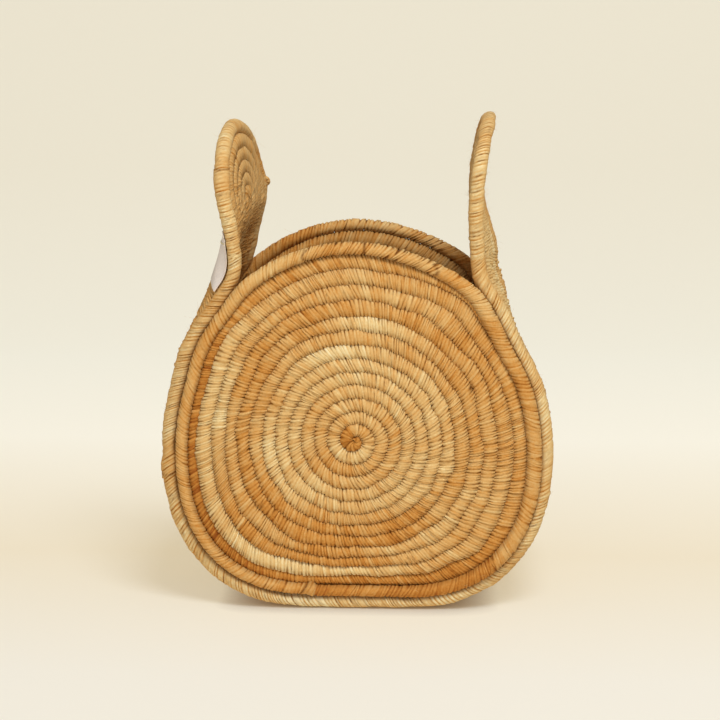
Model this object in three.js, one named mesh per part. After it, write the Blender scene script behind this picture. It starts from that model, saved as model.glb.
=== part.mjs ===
import * as THREE from "three";

// Jute storage basket of coiled mats, in millimetres: X right, Y to the back, Z up, the floor at Z 0.
// Two spiral discs stand inside the long edges of a band that is bent into a U and rises as two ears.

// Driving sizes of the coils
const ROW_THICKNESS = 9.9;
const ROW_GAP = 0.6;
const EDGE_COIL = 11.5;
const RIM_COIL = 12.5;
const RIM_INSET = 9.5;
const SEAM_GAP = 0.3;
const TWINE = 2;
const GROOVE_DEPTH = 1.6;

// Driving sizes of the band, its outline seen from the front
const BAND_WIDTH = 126;
const BAND_ROWS = 10;
const FLAT_HALF = 40;
const BELLY_HALF = 155.5;
const BELLY_HEIGHT = 124;
const SHOULDER_HALF = 107;
const SHOULDER_HEIGHT = 260;
const SHOULDER_SLOPE = 36;
const NECK_HALF = 99.7;
const NECK_HEIGHT = 290;
const TIP_HEIGHT = 392;
const LEFT_TIP_DROP = 7;
const BULGE = 10.5;
const LEFT_BULGE_HEIGHT = 268;
const RIGHT_BULGE_HEIGHT = 281;
const BULGE_REACH = 54;
const SWAY = 3;
const SWAY_HEIGHT = 215;
const SWAY_REACH = 38;
const DENT = 10;
const DENT_HEIGHT = 205;
const DENT_REACH = 75;

// How far the handles of the outline's curves reach, as shares of the height or width that a curve spans
const CORNER_LOW = 0.62;
const CORNER_HIGH = 0.38;
const FLANK_LOW = 0.39;
const FLANK_HIGH = 0.38;
const NECK_LOW = 0.33;
const NECK_HIGH = 0.4;
const CROWN_LOW = 0.47;
const CROWN_HIGH = 0.44;

// Driving sizes of the ears
const LEFT_TWIST = 9.5;
const TWIST_START = 268;
const TWIST_END = 332;
const EAR_HOLLOW = 10.2;
const EAR_FLARE = 19.8;
const LEFT_BOW = 2.8;
const BOW_HEIGHT = 348;
const BOW_REACH = 48;
const HINGE_HEIGHT = 310;
const HINGE_RADIUS = 14;
const HINGE_GAP = 0.6;

// Driving sizes of the discs
const DISC_TURNS = 12;
const ROW_PITCH = 10.35;
const SPIRAL_START = 8.4;
const FIRST_SHARE = 0.25;
const TAIL_START = 0.5;
const TAIL_END = 0.66;
const TAIL_CUT = 0.645;
const CROWN_HEIGHT = 290.5;
const CROWN_SHIFT = 4;
const SPIRAL_X = -1.5;
const SPIRAL_Z = 139;
const DOME = 3;
const RECESS = 3;
const RIM_END_GAP = 1.2;

// Driving sizes of the label
const LABEL_BOTTOM = 253;
const LABEL_TOP = 295;
const LABEL_NEAR = 51;
const LABEL_FAR = 12;
const LABEL_THICKNESS = 0.8;
const THREAD = 1;
const THREAD_INSET = 3;

// Steps of the meshes
const SEWN_STEPS = 17;
const CROWN_STEPS = 5;
const TIP_STEPS = 12;
const TUBE_SIDES = 8;
const ROW_SIDES = 6;
const CAP_STEPS = 4;

const LEFT = -1;
const RIGHT = 1;
const edgeRadius = EDGE_COIL / 2;
const rimRadius = RIM_COIL / 2;
const rowRadius = ROW_THICKNESS / 2;
const edgeLine = BAND_WIDTH / 2 - edgeRadius;
const matHalf = edgeLine - edgeRadius - SEAM_GAP;
const rimApart = edgeRadius + rimRadius + SEAM_GAP;
const rimLine = edgeLine + Math.sqrt(rimApart ** 2 - RIM_INSET ** 2);
const slope = THREE.MathUtils.degToRad(SHOULDER_SLOPE);

// Smooth bump of height 1 about a level
function bump(level, middle, reach) {
  const away = Math.abs(level - middle) / reach;
  return away < 1 ? Math.cos((away * Math.PI) / 2) ** 2 : 0;
}

// The soft basket sags a little to the left at its flanks and is pressed in at the back of the right one
function sway(point) {
  const side = THREE.MathUtils.clamp(point.x / BELLY_HALF, 0, 1);
  const toBack = THREE.MathUtils.clamp(point.y / BAND_WIDTH + 0.5, 0, 1);
  const dent = DENT * bump(point.z, DENT_HEIGHT, DENT_REACH) * side * toBack;
  const sag = SWAY * bump(point.z, SWAY_HEIGHT, SWAY_REACH);
  return new THREE.Vector3(point.x - sag - dent, point.y, point.z);
}

// Right half of the band's outer outline in the XZ plane: floor, corner, flank, neck, ear
const flat = new THREE.Vector2(FLAT_HALF, 0);
const belly = new THREE.Vector2(BELLY_HALF, BELLY_HEIGHT);
const shoulder = new THREE.Vector2(SHOULDER_HALF, SHOULDER_HEIGHT);
const neck = new THREE.Vector2(NECK_HALF, NECK_HEIGHT);
const tip = new THREE.Vector2(NECK_HALF, TIP_HEIGHT);
const inward = new THREE.Vector2(-Math.sin(slope), Math.cos(slope));
const flankRise = SHOULDER_HEIGHT - BELLY_HEIGHT;
const neckRise = NECK_HEIGHT - SHOULDER_HEIGHT;

const floorLine = new THREE.LineCurve(new THREE.Vector2(0, 0), flat);
const corner = new THREE.CubicBezierCurve(
  flat,
  new THREE.Vector2(FLAT_HALF + CORNER_LOW * (BELLY_HALF - FLAT_HALF), 0),
  new THREE.Vector2(BELLY_HALF, CORNER_HIGH * BELLY_HEIGHT),
  belly,
);
const flank = new THREE.CubicBezierCurve(
  belly,
  new THREE.Vector2(BELLY_HALF, BELLY_HEIGHT + FLANK_LOW * flankRise),
  shoulder.clone().addScaledVector(inward, -FLANK_HIGH * flankRise),
  shoulder,
);
const neckBend = new THREE.CubicBezierCurve(
  shoulder,
  shoulder.clone().addScaledVector(inward, NECK_LOW * neckRise),
  new THREE.Vector2(NECK_HALF, NECK_HEIGHT - NECK_HIGH * neckRise),
  neck,
);
const ear = new THREE.LineCurve(neck, tip);

const route = new THREE.CurvePath();
for (const piece of [floorLine, corner, flank, neckBend, ear]) route.add(piece);
const routeLength = route.getLength();
const sewnEnd = floorLine.getLength() + corner.getLength() + flank.getLength();
const neckEnd = sewnEnd + neckBend.getLength();
const hingeAt = neckEnd + HINGE_HEIGHT - NECK_HEIGHT;

// Where the round end of an ear has its centre
function tipCentre(side) {
  return routeLength - BAND_WIDTH / 2 - (side === LEFT ? LEFT_TIP_DROP : 0);
}

// A point of the right outline with its outward normal, both in the XZ plane
function outline(s) {
  const share = THREE.MathUtils.clamp(s / routeLength, 0, 1);
  const point = route.getPoint(share);
  point.y += Math.max(0, s - routeLength);
  const tangent = route.getTangent(THREE.MathUtils.clamp(share, 0.0002, 0.9998));
  if (s <= floorLine.getLength()) tangent.set(1, 0);
  return { point, normal: new THREE.Vector2(tangent.y, -tangent.x) };
}

// The band as a sheet: s runs up the outline, t from front to back, n out of its middle surface
function bandPoint(side, s, t, n) {
  const { point, normal } = outline(s);
  const risen = Math.max(0, point.y - NECK_HEIGHT) / (TIP_HEIGHT - NECK_HEIGHT);
  const across = Math.max(0, 1 - (t / edgeLine) ** 2);
  const bulgeHeight = side === LEFT ? LEFT_BULGE_HEIGHT : RIGHT_BULGE_HEIGHT;
  const out = n + BULGE * bump(point.y, bulgeHeight, BULGE_REACH) * across;
  const turned = THREE.MathUtils.smoothstep(point.y, TWIST_START, TWIST_END);
  const twist = side === LEFT ? turned * THREE.MathUtils.degToRad(LEFT_TWIST) : 0;
  const bow = side === LEFT ? LEFT_BOW * bump(point.y, BOW_HEIGHT, BOW_REACH) : 0;
  const lean = EAR_FLARE * risen ** 2 - EAR_HOLLOW * risen + bow;
  const middleX = side * (point.x - edgeRadius * normal.x + lean);
  const middleZ = point.y - edgeRadius * normal.y;
  const outX = side * normal.x * out;
  return sway(
    new THREE.Vector3(
      middleX + outX * Math.cos(twist) + t * Math.sin(twist),
      -outX * Math.sin(twist) + t * Math.cos(twist),
      middleZ + normal.y * out,
    ),
  );
}

// The line that an ear flexes about
function hinge(side) {
  const front = bandPoint(side, hingeAt, -edgeLine, 0);
  const back = bandPoint(side, hingeAt, edgeLine, 0);
  return { point: front.clone().lerp(back, 0.5), axis: back.clone().sub(front).normalize() };
}

// Where the sheet below the hinge reaches a given distance from the hinge line
function cutAt(side, t, n, radius) {
  const { point, axis } = hinge(side);
  let low = hingeAt - 2.5 * HINGE_RADIUS;
  let high = hingeAt;
  for (let pass = 0; pass < 40; pass += 1) {
    const middle = (low + high) / 2;
    const arm = bandPoint(side, middle, t, n).sub(point);
    if (arm.addScaledVector(axis, -arm.dot(axis)).length() > radius) low = middle;
    else high = middle;
  }
  return low;
}

// A closed mesh from points and triangles, turned so that it faces outwards
function solid(name, points, triangles, colour) {
  const geometry = new THREE.BufferGeometry();
  const faces = triangles.filter(([a, b, c]) => {
    const one = points[b].clone().sub(points[a]);
    return one.cross(points[c].clone().sub(points[a])).length() > 1e-6;
  });
  let volume = 0;
  for (const [a, b, c] of faces) volume += points[a].dot(points[b].clone().cross(points[c]));
  const turned = volume < 0 ? faces.map(([a, b, c]) => [a, c, b]) : faces;
  geometry.setAttribute("position", new THREE.Float32BufferAttribute(points.flatMap((p) => p.toArray()), 3));
  geometry.setIndex(turned.flat());
  geometry.computeVertexNormals();
  const mesh = new THREE.Mesh(geometry, new THREE.MeshStandardMaterial({ color: colour, roughness: 0.85 }));
  mesh.name = name;
  return mesh;
}

// A tube from rings of equal length, closed at both ends about the given end points
function tube(name, rings, ends, colour) {
  const sides = rings[0].length;
  const points = rings.flat();
  const triangles = [];
  for (let ring = 0; ring + 1 < rings.length; ring += 1) {
    for (let side = 0; side < sides; side += 1) {
      const next = (side + 1) % sides;
      const a = ring * sides + side;
      const b = ring * sides + next;
      triangles.push([a, b, b + sides], [a, b + sides, a + sides]);
    }
  }
  const first = points.push(ends[0]) - 1;
  const last = points.push(ends[1]) - 1;
  const base = (rings.length - 1) * sides;
  for (let side = 0; side < sides; side += 1) {
    const next = (side + 1) % sides;
    triangles.push([first, next, side], [last, base + side, base + next]);
  }
  return solid(name, points, triangles, colour);
}

// Corners of a tube's section with flats that face along both directions
function flatSided(radius, sides) {
  const reach = radius / Math.cos(Math.PI / sides);
  return Array.from({ length: sides }, (_, corner) => {
    const angle = ((corner + 0.5) * 2 * Math.PI) / sides;
    return [reach * Math.cos(angle), reach * Math.sin(angle)];
  });
}

const edgeSection = flatSided(edgeRadius, TUBE_SIDES);
const rimSection = flatSided(rimRadius, TUBE_SIDES);

// Outline of a disc: the rim's middle line from the bottom, up the right side, over the crown and down again
function rimStations() {
  const inset = edgeRadius + RIM_INSET;
  const right = [];
  for (let step = 0; step <= SEWN_STEPS; step += 1) {
    const { point, normal } = outline((sewnEnd * step) / SEWN_STEPS);
    right.push({ point: point.addScaledVector(normal, -inset), normal });
  }
  const start = right[SEWN_STEPS].point;
  const rise = CROWN_HEIGHT - start.y;
  return { right, start, rise };
}

function crownHalf(side) {
  const { start, rise } = rimStations();
  const crown = new THREE.Vector2(-CROWN_SHIFT * side, CROWN_HEIGHT);
  const curve = new THREE.CubicBezierCurve(
    start,
    start.clone().addScaledVector(inward, CROWN_LOW * rise),
    new THREE.Vector2(crown.x + CROWN_HIGH * start.x, CROWN_HEIGHT),
    crown,
  );
  return Array.from({ length: CROWN_STEPS }, (_, step) => {
    const share = (step + 1) / CROWN_STEPS;
    const tangent = curve.getTangent(share);
    return { point: curve.getPoint(share), normal: new THREE.Vector2(tangent.y, -tangent.x) };
  });
}

function mirrored({ point, normal }) {
  return { point: new THREE.Vector2(-point.x, point.y), normal: new THREE.Vector2(-normal.x, normal.y) };
}

const rightStations = rimStations().right.concat(crownHalf(RIGHT));
const leftStations = rimStations().right.concat(crownHalf(LEFT)).map(mirrored);
const rimRing = rightStations.concat(leftStations.slice(1, -1).reverse());

// A wound disc: one spiral coil, domed a little and set back where it meets the rim
function discOut(share) {
  return DOME * (1 - share ** 2) - RECESS * share ** 8;
}

// How many turns reach the rim at a share of a turn: the last turn runs out under the rim over the tail
function turnsToRim(share) {
  if (share >= TAIL_END) return DISC_TURNS - 1 + share;
  const ended = Math.max(0, share - TAIL_START) / (TAIL_END - TAIL_START);
  return THREE.MathUtils.lerp(DISC_TURNS + Math.min(share, TAIL_START), DISC_TURNS - 1 + TAIL_END, ended);
}

// Distance of a turn's outer edge from the centre: round at the heart, the rim's outline at the border
function rowEdge(turns, reach) {
  const limit = turnsToRim(turns - Math.floor(turns));
  if (turns >= limit) return reach;
  const round = (count) => Math.max(0, SPIRAL_START + ROW_PITCH * count);
  const spread = Math.max(0, turns / limit) ** 3;
  return round(turns) + (reach - round(limit)) * spread;
}

// Each disc winds outwards clockwise as seen from its own side
function discCoil(name, face, colour) {
  const centre = new THREE.Vector2(SPIRAL_X, SPIRAL_Z);
  const inset = rimRadius + SEAM_GAP;
  const stations = rimRing
    .map(({ point, normal }) => {
      const arm = point.clone().addScaledVector(normal, -inset).sub(centre);
      const angle = Math.atan2(face * arm.x, -arm.y);
      return { arm, share: THREE.MathUtils.euclideanModulo(angle / (2 * Math.PI), 1) };
    })
    .sort((one, two) => one.share - two.share);
  const count = stations.length;
  const coarseStep = 4;
  const coarseTurns = 2.5;
  const fineTurns = DISC_TURNS - 1;
  const end = DISC_TURNS + TAIL_CUT;
  const path = [];
  let index = Math.round((FIRST_SHARE * count) / coarseStep) * coarseStep;
  let turns = stations[index].share;
  while (turns < end) {
    path.push({ turns, arm: stations[index % count].arm });
    if (turns < coarseTurns) index += coarseStep;
    else index += turns < fineTurns ? coarseStep / 2 : 1;
    turns = Math.floor(index / count) + stations[index % count].share;
  }
  const before = path[path.length - 1];
  const part = (end - before.turns) / (turns - before.turns);
  path.push({ turns: end, arm: before.arm.clone().lerp(stations[index % count].arm, part) });
  const rings = [];
  const middles = [];
  const turnsOf = [];
  for (const { turns, arm } of path) {
    const reach = arm.length();
    const outer = rowEdge(turns, reach);
    const inner = rowEdge(turns - 1, reach);
    const half = (outer - inner - ROW_GAP) / 2;
    const thick = Math.min(rowRadius, half + 1);
    const radial = arm.clone().divideScalar(reach);
    const middle = (outer + inner) / 2;
    const depth = rimLine + discOut(middle / reach);
    const place = (along, away) =>
      sway(
        new THREE.Vector3(
          centre.x + radial.x * (middle + along),
          face * (depth + away),
          centre.y + radial.y * (middle + along),
        ),
      );
    rings.push(
      Array.from({ length: ROW_SIDES }, (_, side) => {
        const angle = (side * 2 * Math.PI) / ROW_SIDES;
        return place(half * Math.cos(angle), thick * Math.sin(angle));
      }),
    );
    middles.push(place(0, 0));
    turnsOf.push(turns);
  }
  let least = Infinity;
  for (let one = 0; one < rings.length; one += 1) {
    for (let two = one + 1; two < rings.length; two += 1) {
      if (turnsOf[two] - turnsOf[one] < 0.4) continue;
      for (const p of rings[one]) {
        for (const q of rings[two]) least = Math.min(least, p.distanceTo(q));
      }
    }
  }
  console.log(`${name}: least gap between rows ${least.toFixed(2)} mm`);
  return tube(name, rings, [middles[0], middles[middles.length - 1]], colour);
}

// A disc's rim: one turn of fat coil with its two ends nearly meeting at the lower left
function rimCoil(name, face, colour) {
  const count = rimRing.length;
  const joinAt = count - 2;
  const ring = ({ point, normal }) =>
    rimSection.map(([along, away]) =>
      sway(
        new THREE.Vector3(
          point.x + normal.x * along,
          face * (rimLine + away),
          point.y + normal.y * along,
        ),
      ),
    );
  const middle = ({ point }) => sway(new THREE.Vector3(point.x, face * rimLine, point.y));
  const between = (one, two, share) => ({
    point: one.point.clone().lerp(two.point, share),
    normal: one.normal.clone().lerp(two.normal, share).normalize(),
  });
  const before = rimRing[joinAt - 1];
  const at = rimRing[joinAt];
  const endShare = 1 - RIM_END_GAP / at.point.distanceTo(before.point);
  const stations = [at];
  for (let step = 1; step < count; step += 1) stations.push(rimRing[(joinAt + step) % count]);
  stations.push(between(before, at, endShare));
  return tube(name, stations.map(ring), [middle(stations[0]), middle(stations[stations.length - 1])], colour);
}

// Stations of the band's wall from the left hinge down, along the floor and up to the right hinge
function wallStations(stride) {
  const half = [];
  for (let step = 0; step <= SEWN_STEPS; step += stride) half.push((sewnEnd * step) / SEWN_STEPS);
  if (half[half.length - 1] < sewnEnd) half.push(sewnEnd);
  half.push(sewnEnd + 0.33 * (neckEnd - sewnEnd), sewnEnd + 0.7 * (neckEnd - sewnEnd));
  const right = half.map((s) => ({ side: RIGHT, s }));
  const left = half.slice(1).map((s) => ({ side: LEFT, s }));
  return left.reverse().concat(right);
}

// A band edge: the fat coil along one long edge, ended by the round cuts at both hinges
function edgeCoil(name, face, colour) {
  const radius = HINGE_RADIUS + HINGE_GAP;
  const ringAt = (side, s) =>
    edgeSection.map(([along, n]) => bandPoint(side, s(along, n), face * (edgeLine + along), n));
  const cut = (side) => (along, n) => cutAt(side, face * (edgeLine + along), n, radius);
  const rings = wallStations(1).map(({ side, s }) => ringAt(side, () => s));
  rings.unshift(ringAt(LEFT, cut(LEFT)));
  rings.push(ringAt(RIGHT, cut(RIGHT)));
  const end = (side) => bandPoint(side, cut(side)(0, 0), face * edgeLine, 0);
  return tube(name, rings, [end(LEFT), end(RIGHT)], colour);
}

// A ribbed mat from sections of outer and inner points, with caps over its two cut ends
function ribbedMat(name, sections, caps, sealed, colour) {
  const columns = sections[0].length;
  const final = sections.length - 1;
  const points = [];
  const triangles = [];
  const add = (point) => points.push(point) - 1;
  const outer = sections.map((section) => section.map((pair) => add(pair[0])));
  const inner = sections.map((section) => section.map((pair) => add(pair[1])));
  const quad = (a, b, c, d) => triangles.push([a, b, c], [a, c, d]);
  const levelsOf = (i, cap) =>
    sections[i].map((_, j) => {
      const levels = [outer[i][j]];
      for (let step = 1; step < CAP_STEPS; step += 1) levels.push(add(cap(j, step / CAP_STEPS)));
      return levels.concat(inner[i][j]);
    });
  const firstLevels = levelsOf(0, caps[0]);
  const finalLevels = levelsOf(final, caps[1]);
  const through = (i, j) => {
    if (i === 0) return firstLevels[j];
    return i === final ? finalLevels[j] : [outer[i][j], inner[i][j]];
  };
  const strip = (one, two) => {
    for (let k = 0; k + 1 < one.length; k += 1) triangles.push([two[0], one[k], one[k + 1]]);
    for (let k = 0; k + 1 < two.length; k += 1) triangles.push([one[one.length - 1], two[k + 1], two[k]]);
  };
  for (let i = 0; i < final; i += 1) {
    for (let j = 0; j + 1 < columns; j += 1) {
      quad(outer[i][j], outer[i + 1][j], outer[i + 1][j + 1], outer[i][j + 1]);
      quad(inner[i][j], inner[i][j + 1], inner[i + 1][j + 1], inner[i + 1][j]);
    }
    strip(through(i + 1, columns - 1), through(i, columns - 1));
    if (sealed) strip(through(i, 0), through(i + 1, 0));
  }
  for (let j = 0; j + 1 < columns; j += 1) {
    for (let step = 0; step < CAP_STEPS; step += 1) {
      const low = firstLevels;
      const high = finalLevels;
      quad(low[j][step], low[j + 1][step], low[j + 1][step + 1], low[j][step + 1]);
      quad(high[j][step], high[j][step + 1], high[j + 1][step + 1], high[j + 1][step]);
    }
  }
  return solid(name, points, triangles, colour);
}

// Half thickness of the mat at a column: thick on the crest of a row, thin in the groove between two rows
function matHalfAt(column) {
  return column % 2 === 1 ? edgeRadius : edgeRadius - GROOVE_DEPTH;
}

function sideBand(name, colour) {
  const columns = Array.from({ length: 2 * BAND_ROWS + 1 }, (_, j) => j);
  const t = (j) => matHalf * (j / BAND_ROWS - 1);
  const radius = HINGE_RADIUS + HINGE_GAP;
  const floorEnd = floorLine.getLength();
  const section = ({ side, s }) =>
    columns.map((j) => {
      const outerHalf = s <= floorEnd ? edgeRadius : matHalfAt(j);
      return [bandPoint(side, s, t(j), outerHalf), bandPoint(side, s, t(j), -matHalfAt(j))];
    });
  const cutPoint = (side, j, n) => bandPoint(side, cutAt(side, t(j), n, radius), t(j), n);
  const cutSection = (side) =>
    columns.map((j) => [cutPoint(side, j, matHalfAt(j)), cutPoint(side, j, -matHalfAt(j))]);
  const cap = (side) => (j, share) => cutPoint(side, j, matHalfAt(j) * (1 - 2 * share));
  const sections = [cutSection(LEFT), ...wallStations(2).map(section), cutSection(RIGHT)];
  return ribbedMat(name, sections, [cap(LEFT), cap(RIGHT)], true, colour);
}

// Path of a row up the front of an ear, round its tip and down the back, at a distance from the ear's core
function earPath(side) {
  const centre = tipCentre(side);
  const straight = [hingeAt - 0.3 * HINGE_RADIUS, (hingeAt + centre) / 2, centre];
  const path = straight.map((s) => ({ place: (reach) => [s, -reach] }));
  for (let step = 1; step < TIP_STEPS; step += 1) {
    const angle = (step * Math.PI) / TIP_STEPS;
    path.push({ place: (reach) => [centre + reach * Math.sin(angle), -reach * Math.cos(angle)] });
  }
  for (const s of straight.reverse()) path.push({ place: (reach) => [s, reach] });
  return path;
}

function handleMat(name, side, colour) {
  const columns = Array.from({ length: BAND_ROWS + 1 }, (_, j) => j);
  const reach = (j) => (matHalf * j) / BAND_ROWS;
  const pair = (place, j) => {
    const [s, t] = place(reach(j));
    return [bandPoint(side, s, t, matHalfAt(j)), bandPoint(side, s, t, -matHalfAt(j))];
  };
  const cutPoint = (t, n) => bandPoint(side, cutAt(side, t, n, HINGE_RADIUS), t, n);
  const cutSection = (edge) =>
    columns.map((j) => [cutPoint(edge * reach(j), matHalfAt(j)), cutPoint(edge * reach(j), -matHalfAt(j))]);
  const cap = (edge) => (j, share) => cutPoint(edge * reach(j), matHalfAt(j) * (1 - 2 * share));
  const sections = earPath(side).map(({ place }) => columns.map((j) => pair(place, j)));
  return ribbedMat(name, [cutSection(-1), ...sections, cutSection(1)], [cap(-1), cap(1)], false, colour);
}

function handleCoil(name, side, colour) {
  const rings = earPath(side).map(({ place }) =>
    edgeSection.map(([along, n]) => {
      const [s, t] = place(edgeLine + along);
      return bandPoint(side, s, t, n);
    }),
  );
  const cutPoint = (t, n) => bandPoint(side, cutAt(side, t, n, HINGE_RADIUS), t, n);
  const cutRing = (edge) => edgeSection.map(([along, n]) => cutPoint(edge * (edgeLine + along), n));
  const ends = [cutPoint(-edgeLine, 0), cutPoint(edgeLine, 0)];
  return tube(name, [cutRing(-1), ...rings, cutRing(1)], ends, colour);
}

// The twine that sews a rim to the band's edge lies in the crease between them, on the inside
function seamTwine(name, face, colour) {
  const radius = TWINE / 2;
  const toEdge = edgeRadius + radius + SEAM_GAP;
  const toRim = rimRadius + radius + SEAM_GAP;
  const along = (toEdge ** 2 - toRim ** 2 + rimApart ** 2) / (2 * rimApart);
  const aside = Math.sqrt(toEdge ** 2 - along ** 2);
  const forward = rimLine - edgeLine;
  const inset = edgeRadius + (along * RIM_INSET + aside * forward) / rimApart;
  const depth = edgeLine + (along * forward - aside * RIM_INSET) / rimApart;
  const sides = 5;
  const stations = [];
  for (let step = 0; step <= SEWN_STEPS; step += 1) stations.push(outline((sewnEnd * step) / SEWN_STEPS));
  const left = stations.slice(1).map(mirrored).reverse();
  const all = left.concat(stations);
  const place = ({ point, normal }, out, away) =>
    sway(
      new THREE.Vector3(
        point.x + normal.x * (out - inset),
        face * (depth + away),
        point.y + normal.y * (out - inset),
      ),
    );
  const rings = all.map((station) =>
    Array.from({ length: sides }, (_, side) => {
      const angle = (side * 2 * Math.PI) / sides - Math.PI / 2;
      return place(station, radius * Math.cos(angle), radius * Math.sin(angle));
    }),
  );
  return tube(name, rings, [place(all[0], 0, 0), place(all[all.length - 1], 0, 0)], colour);
}

// The blank label lies against the outside of the left shoulder, its top edge held by a line of thread
const labelBase = edgeRadius + SEAM_GAP;

function labelRoute(level) {
  let low = floorLine.getLength();
  let high = hingeAt;
  for (let pass = 0; pass < 40; pass += 1) {
    const middle = (low + high) / 2;
    if (outline(middle).point.y < level) low = middle;
    else high = middle;
  }
  return low;
}

function sideLabel(name, colour) {
  const steps = 8;
  const across = 8;
  const bottom = labelRoute(LABEL_BOTTOM);
  const top = labelRoute(LABEL_TOP);
  const sections = Array.from({ length: steps + 1 }, (_, i) =>
    Array.from({ length: across + 1 }, (unused, j) => {
      const s = bottom + ((top - bottom) * i) / steps;
      const t = -LABEL_NEAR + ((LABEL_NEAR - LABEL_FAR) * j) / across;
      return [bandPoint(LEFT, s, t, labelBase + LABEL_THICKNESS), bandPoint(LEFT, s, t, labelBase)];
    }),
  );
  const cap = (i) => (j, share) => sections[i][j][0].clone().lerp(sections[i][j][1], share);
  return ribbedMat(name, sections, [cap(0), cap(steps)], true, colour);
}

function labelThread(name, colour) {
  const radius = THREAD / 2;
  const sides = 6;
  const steps = 4;
  const margin = 2;
  const s = labelRoute(LABEL_TOP - THREAD_INSET);
  const n = labelBase + LABEL_THICKNESS + SEAM_GAP + radius;
  const t = (step) => -LABEL_NEAR + margin + ((LABEL_NEAR - LABEL_FAR - 2 * margin) * step) / steps;
  const rings = Array.from({ length: steps + 1 }, (_, step) =>
    Array.from({ length: sides }, (unused, side) => {
      const angle = (side * 2 * Math.PI) / sides;
      return bandPoint(LEFT, s + radius * Math.cos(angle), t(step), n + radius * Math.sin(angle));
    }),
  );
  return tube(name, rings, [bandPoint(LEFT, s, t(0), n), bandPoint(LEFT, s, t(steps), n)], colour);
}

const FRONT = -1;
const BACK = 1;
const STRAW = 0xd9b074;
const PALE_STRAW = 0xdfbe88;
const TWINE_BROWN = 0xa9783c;
const LABEL_WHITE = 0xe6e2ea;

const basket = new THREE.Group();
basket.name = "jute_storage_basket";
basket.add(
  discCoil("front_disc_coil", FRONT, STRAW),
  rimCoil("front_rim_coil", FRONT, PALE_STRAW),
  discCoil("back_disc_coil", BACK, STRAW),
  rimCoil("back_rim_coil", BACK, PALE_STRAW),
  sideBand("side_band", STRAW),
  edgeCoil("front_edge_coil", FRONT, PALE_STRAW),
  edgeCoil("back_edge_coil", BACK, PALE_STRAW),
  handleMat("left_handle_mat", LEFT, STRAW),
  handleCoil("left_handle_coil", LEFT, PALE_STRAW),
  handleMat("right_handle_mat", RIGHT, STRAW),
  handleCoil("right_handle_coil", RIGHT, PALE_STRAW),
  seamTwine("front_seam_twine", FRONT, TWINE_BROWN),
  seamTwine("back_seam_twine", BACK, TWINE_BROWN),
  sideLabel("side_label", LABEL_WHITE),
  labelThread("label_thread", LABEL_WHITE),
);
for (const side of [LEFT, RIGHT]) {
  const { point, axis } = hinge(side);
  const values = [point, axis].map((v) => v.toArray().map((value) => value.toFixed(3)).join(", "));
  console.log(`${side === LEFT ? "left" : "right"} ear flexes about ${values[0]} along ${values[1]}`);
}

export default basket;
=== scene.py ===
import math

import bpy
import numpy as np
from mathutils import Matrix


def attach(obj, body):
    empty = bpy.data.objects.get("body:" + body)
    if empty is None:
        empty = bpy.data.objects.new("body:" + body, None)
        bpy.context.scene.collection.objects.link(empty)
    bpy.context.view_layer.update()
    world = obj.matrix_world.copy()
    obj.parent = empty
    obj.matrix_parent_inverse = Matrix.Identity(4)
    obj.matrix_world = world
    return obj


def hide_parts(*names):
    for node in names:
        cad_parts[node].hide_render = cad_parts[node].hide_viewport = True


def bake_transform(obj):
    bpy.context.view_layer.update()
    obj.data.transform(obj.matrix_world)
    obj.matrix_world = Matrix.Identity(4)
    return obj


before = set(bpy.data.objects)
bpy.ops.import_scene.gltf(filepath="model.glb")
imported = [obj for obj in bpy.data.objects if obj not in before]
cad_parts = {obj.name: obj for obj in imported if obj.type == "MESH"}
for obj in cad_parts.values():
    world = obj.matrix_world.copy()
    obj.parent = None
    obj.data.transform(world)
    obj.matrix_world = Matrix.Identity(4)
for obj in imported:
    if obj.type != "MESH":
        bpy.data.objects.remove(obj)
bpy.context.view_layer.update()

bpy.ops.object.select_all(action="DESELECT")


# Side band: ten rows of loose jute core, each wrapped with a jute strand that also catches the row before it.
# They lie side by side down the left flank, along the floor and up the right flank, so the band is a soft U.
# Its outline is the CAD's, in millimetres. Rows are swept in code, since each has a stitch every 2.5 mm.
MM = 0.001
LEFT = -1
RIGHT = 1
FRONT = -1
BACK = 1
EDGE_RADIUS = 5.75
BAND_WIDTH = 126.0
BAND_ROWS = 10
SEAM_GAP = 0.3
FLAT_HALF = 40.0
BELLY_HALF = 155.5
BELLY_HEIGHT = 124.0
SHOULDER_HALF = 107.0
SHOULDER_HEIGHT = 260.0
SHOULDER_SLOPE = math.radians(36)
NECK_HALF = 99.7
NECK_HEIGHT = 290.0
TIP_HEIGHT = 392.0
CORNER_LOW = 0.62
CORNER_HIGH = 0.38
FLANK_LOW = 0.39
FLANK_HIGH = 0.38
NECK_LOW = 0.33
NECK_HIGH = 0.4
BULGE = 10.5
LEFT_BULGE_HEIGHT = 268.0
RIGHT_BULGE_HEIGHT = 281.0
BULGE_REACH = 54.0
SWAY = 3.0
SWAY_HEIGHT = 215.0
SWAY_REACH = 38.0
DENT = 10.0
DENT_HEIGHT = 205.0
DENT_REACH = 75.0
LEFT_TWIST = math.radians(9.5)
TWIST_START = 268.0
TWIST_END = 332.0
EAR_HOLLOW = 10.2
EAR_FLARE = 19.8
LEFT_BOW = 2.8
BOW_HEIGHT = 348.0
BOW_REACH = 48.0
STRAIGHT_POINTS = 60
CURVE_POINTS = 200
edge_line = BAND_WIDTH / 2 - EDGE_RADIUS
mat_half = edge_line - EDGE_RADIUS - SEAM_GAP
row_half = mat_half / BAND_ROWS


def bezier(start, leave, arrive, end):
    share = np.linspace(0, 1, CURVE_POINTS)[:, None]
    rest = 1 - share
    return rest**3 * start + 3 * rest**2 * share * leave + 3 * rest * share**2 * arrive + share**3 * end


def bump(level, middle, reach):
    """One at the middle, falling smoothly to nothing a reach away from it."""
    away = np.minimum(np.abs(level - middle) / reach, 1)
    return np.cos(away * math.pi / 2) ** 2


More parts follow.
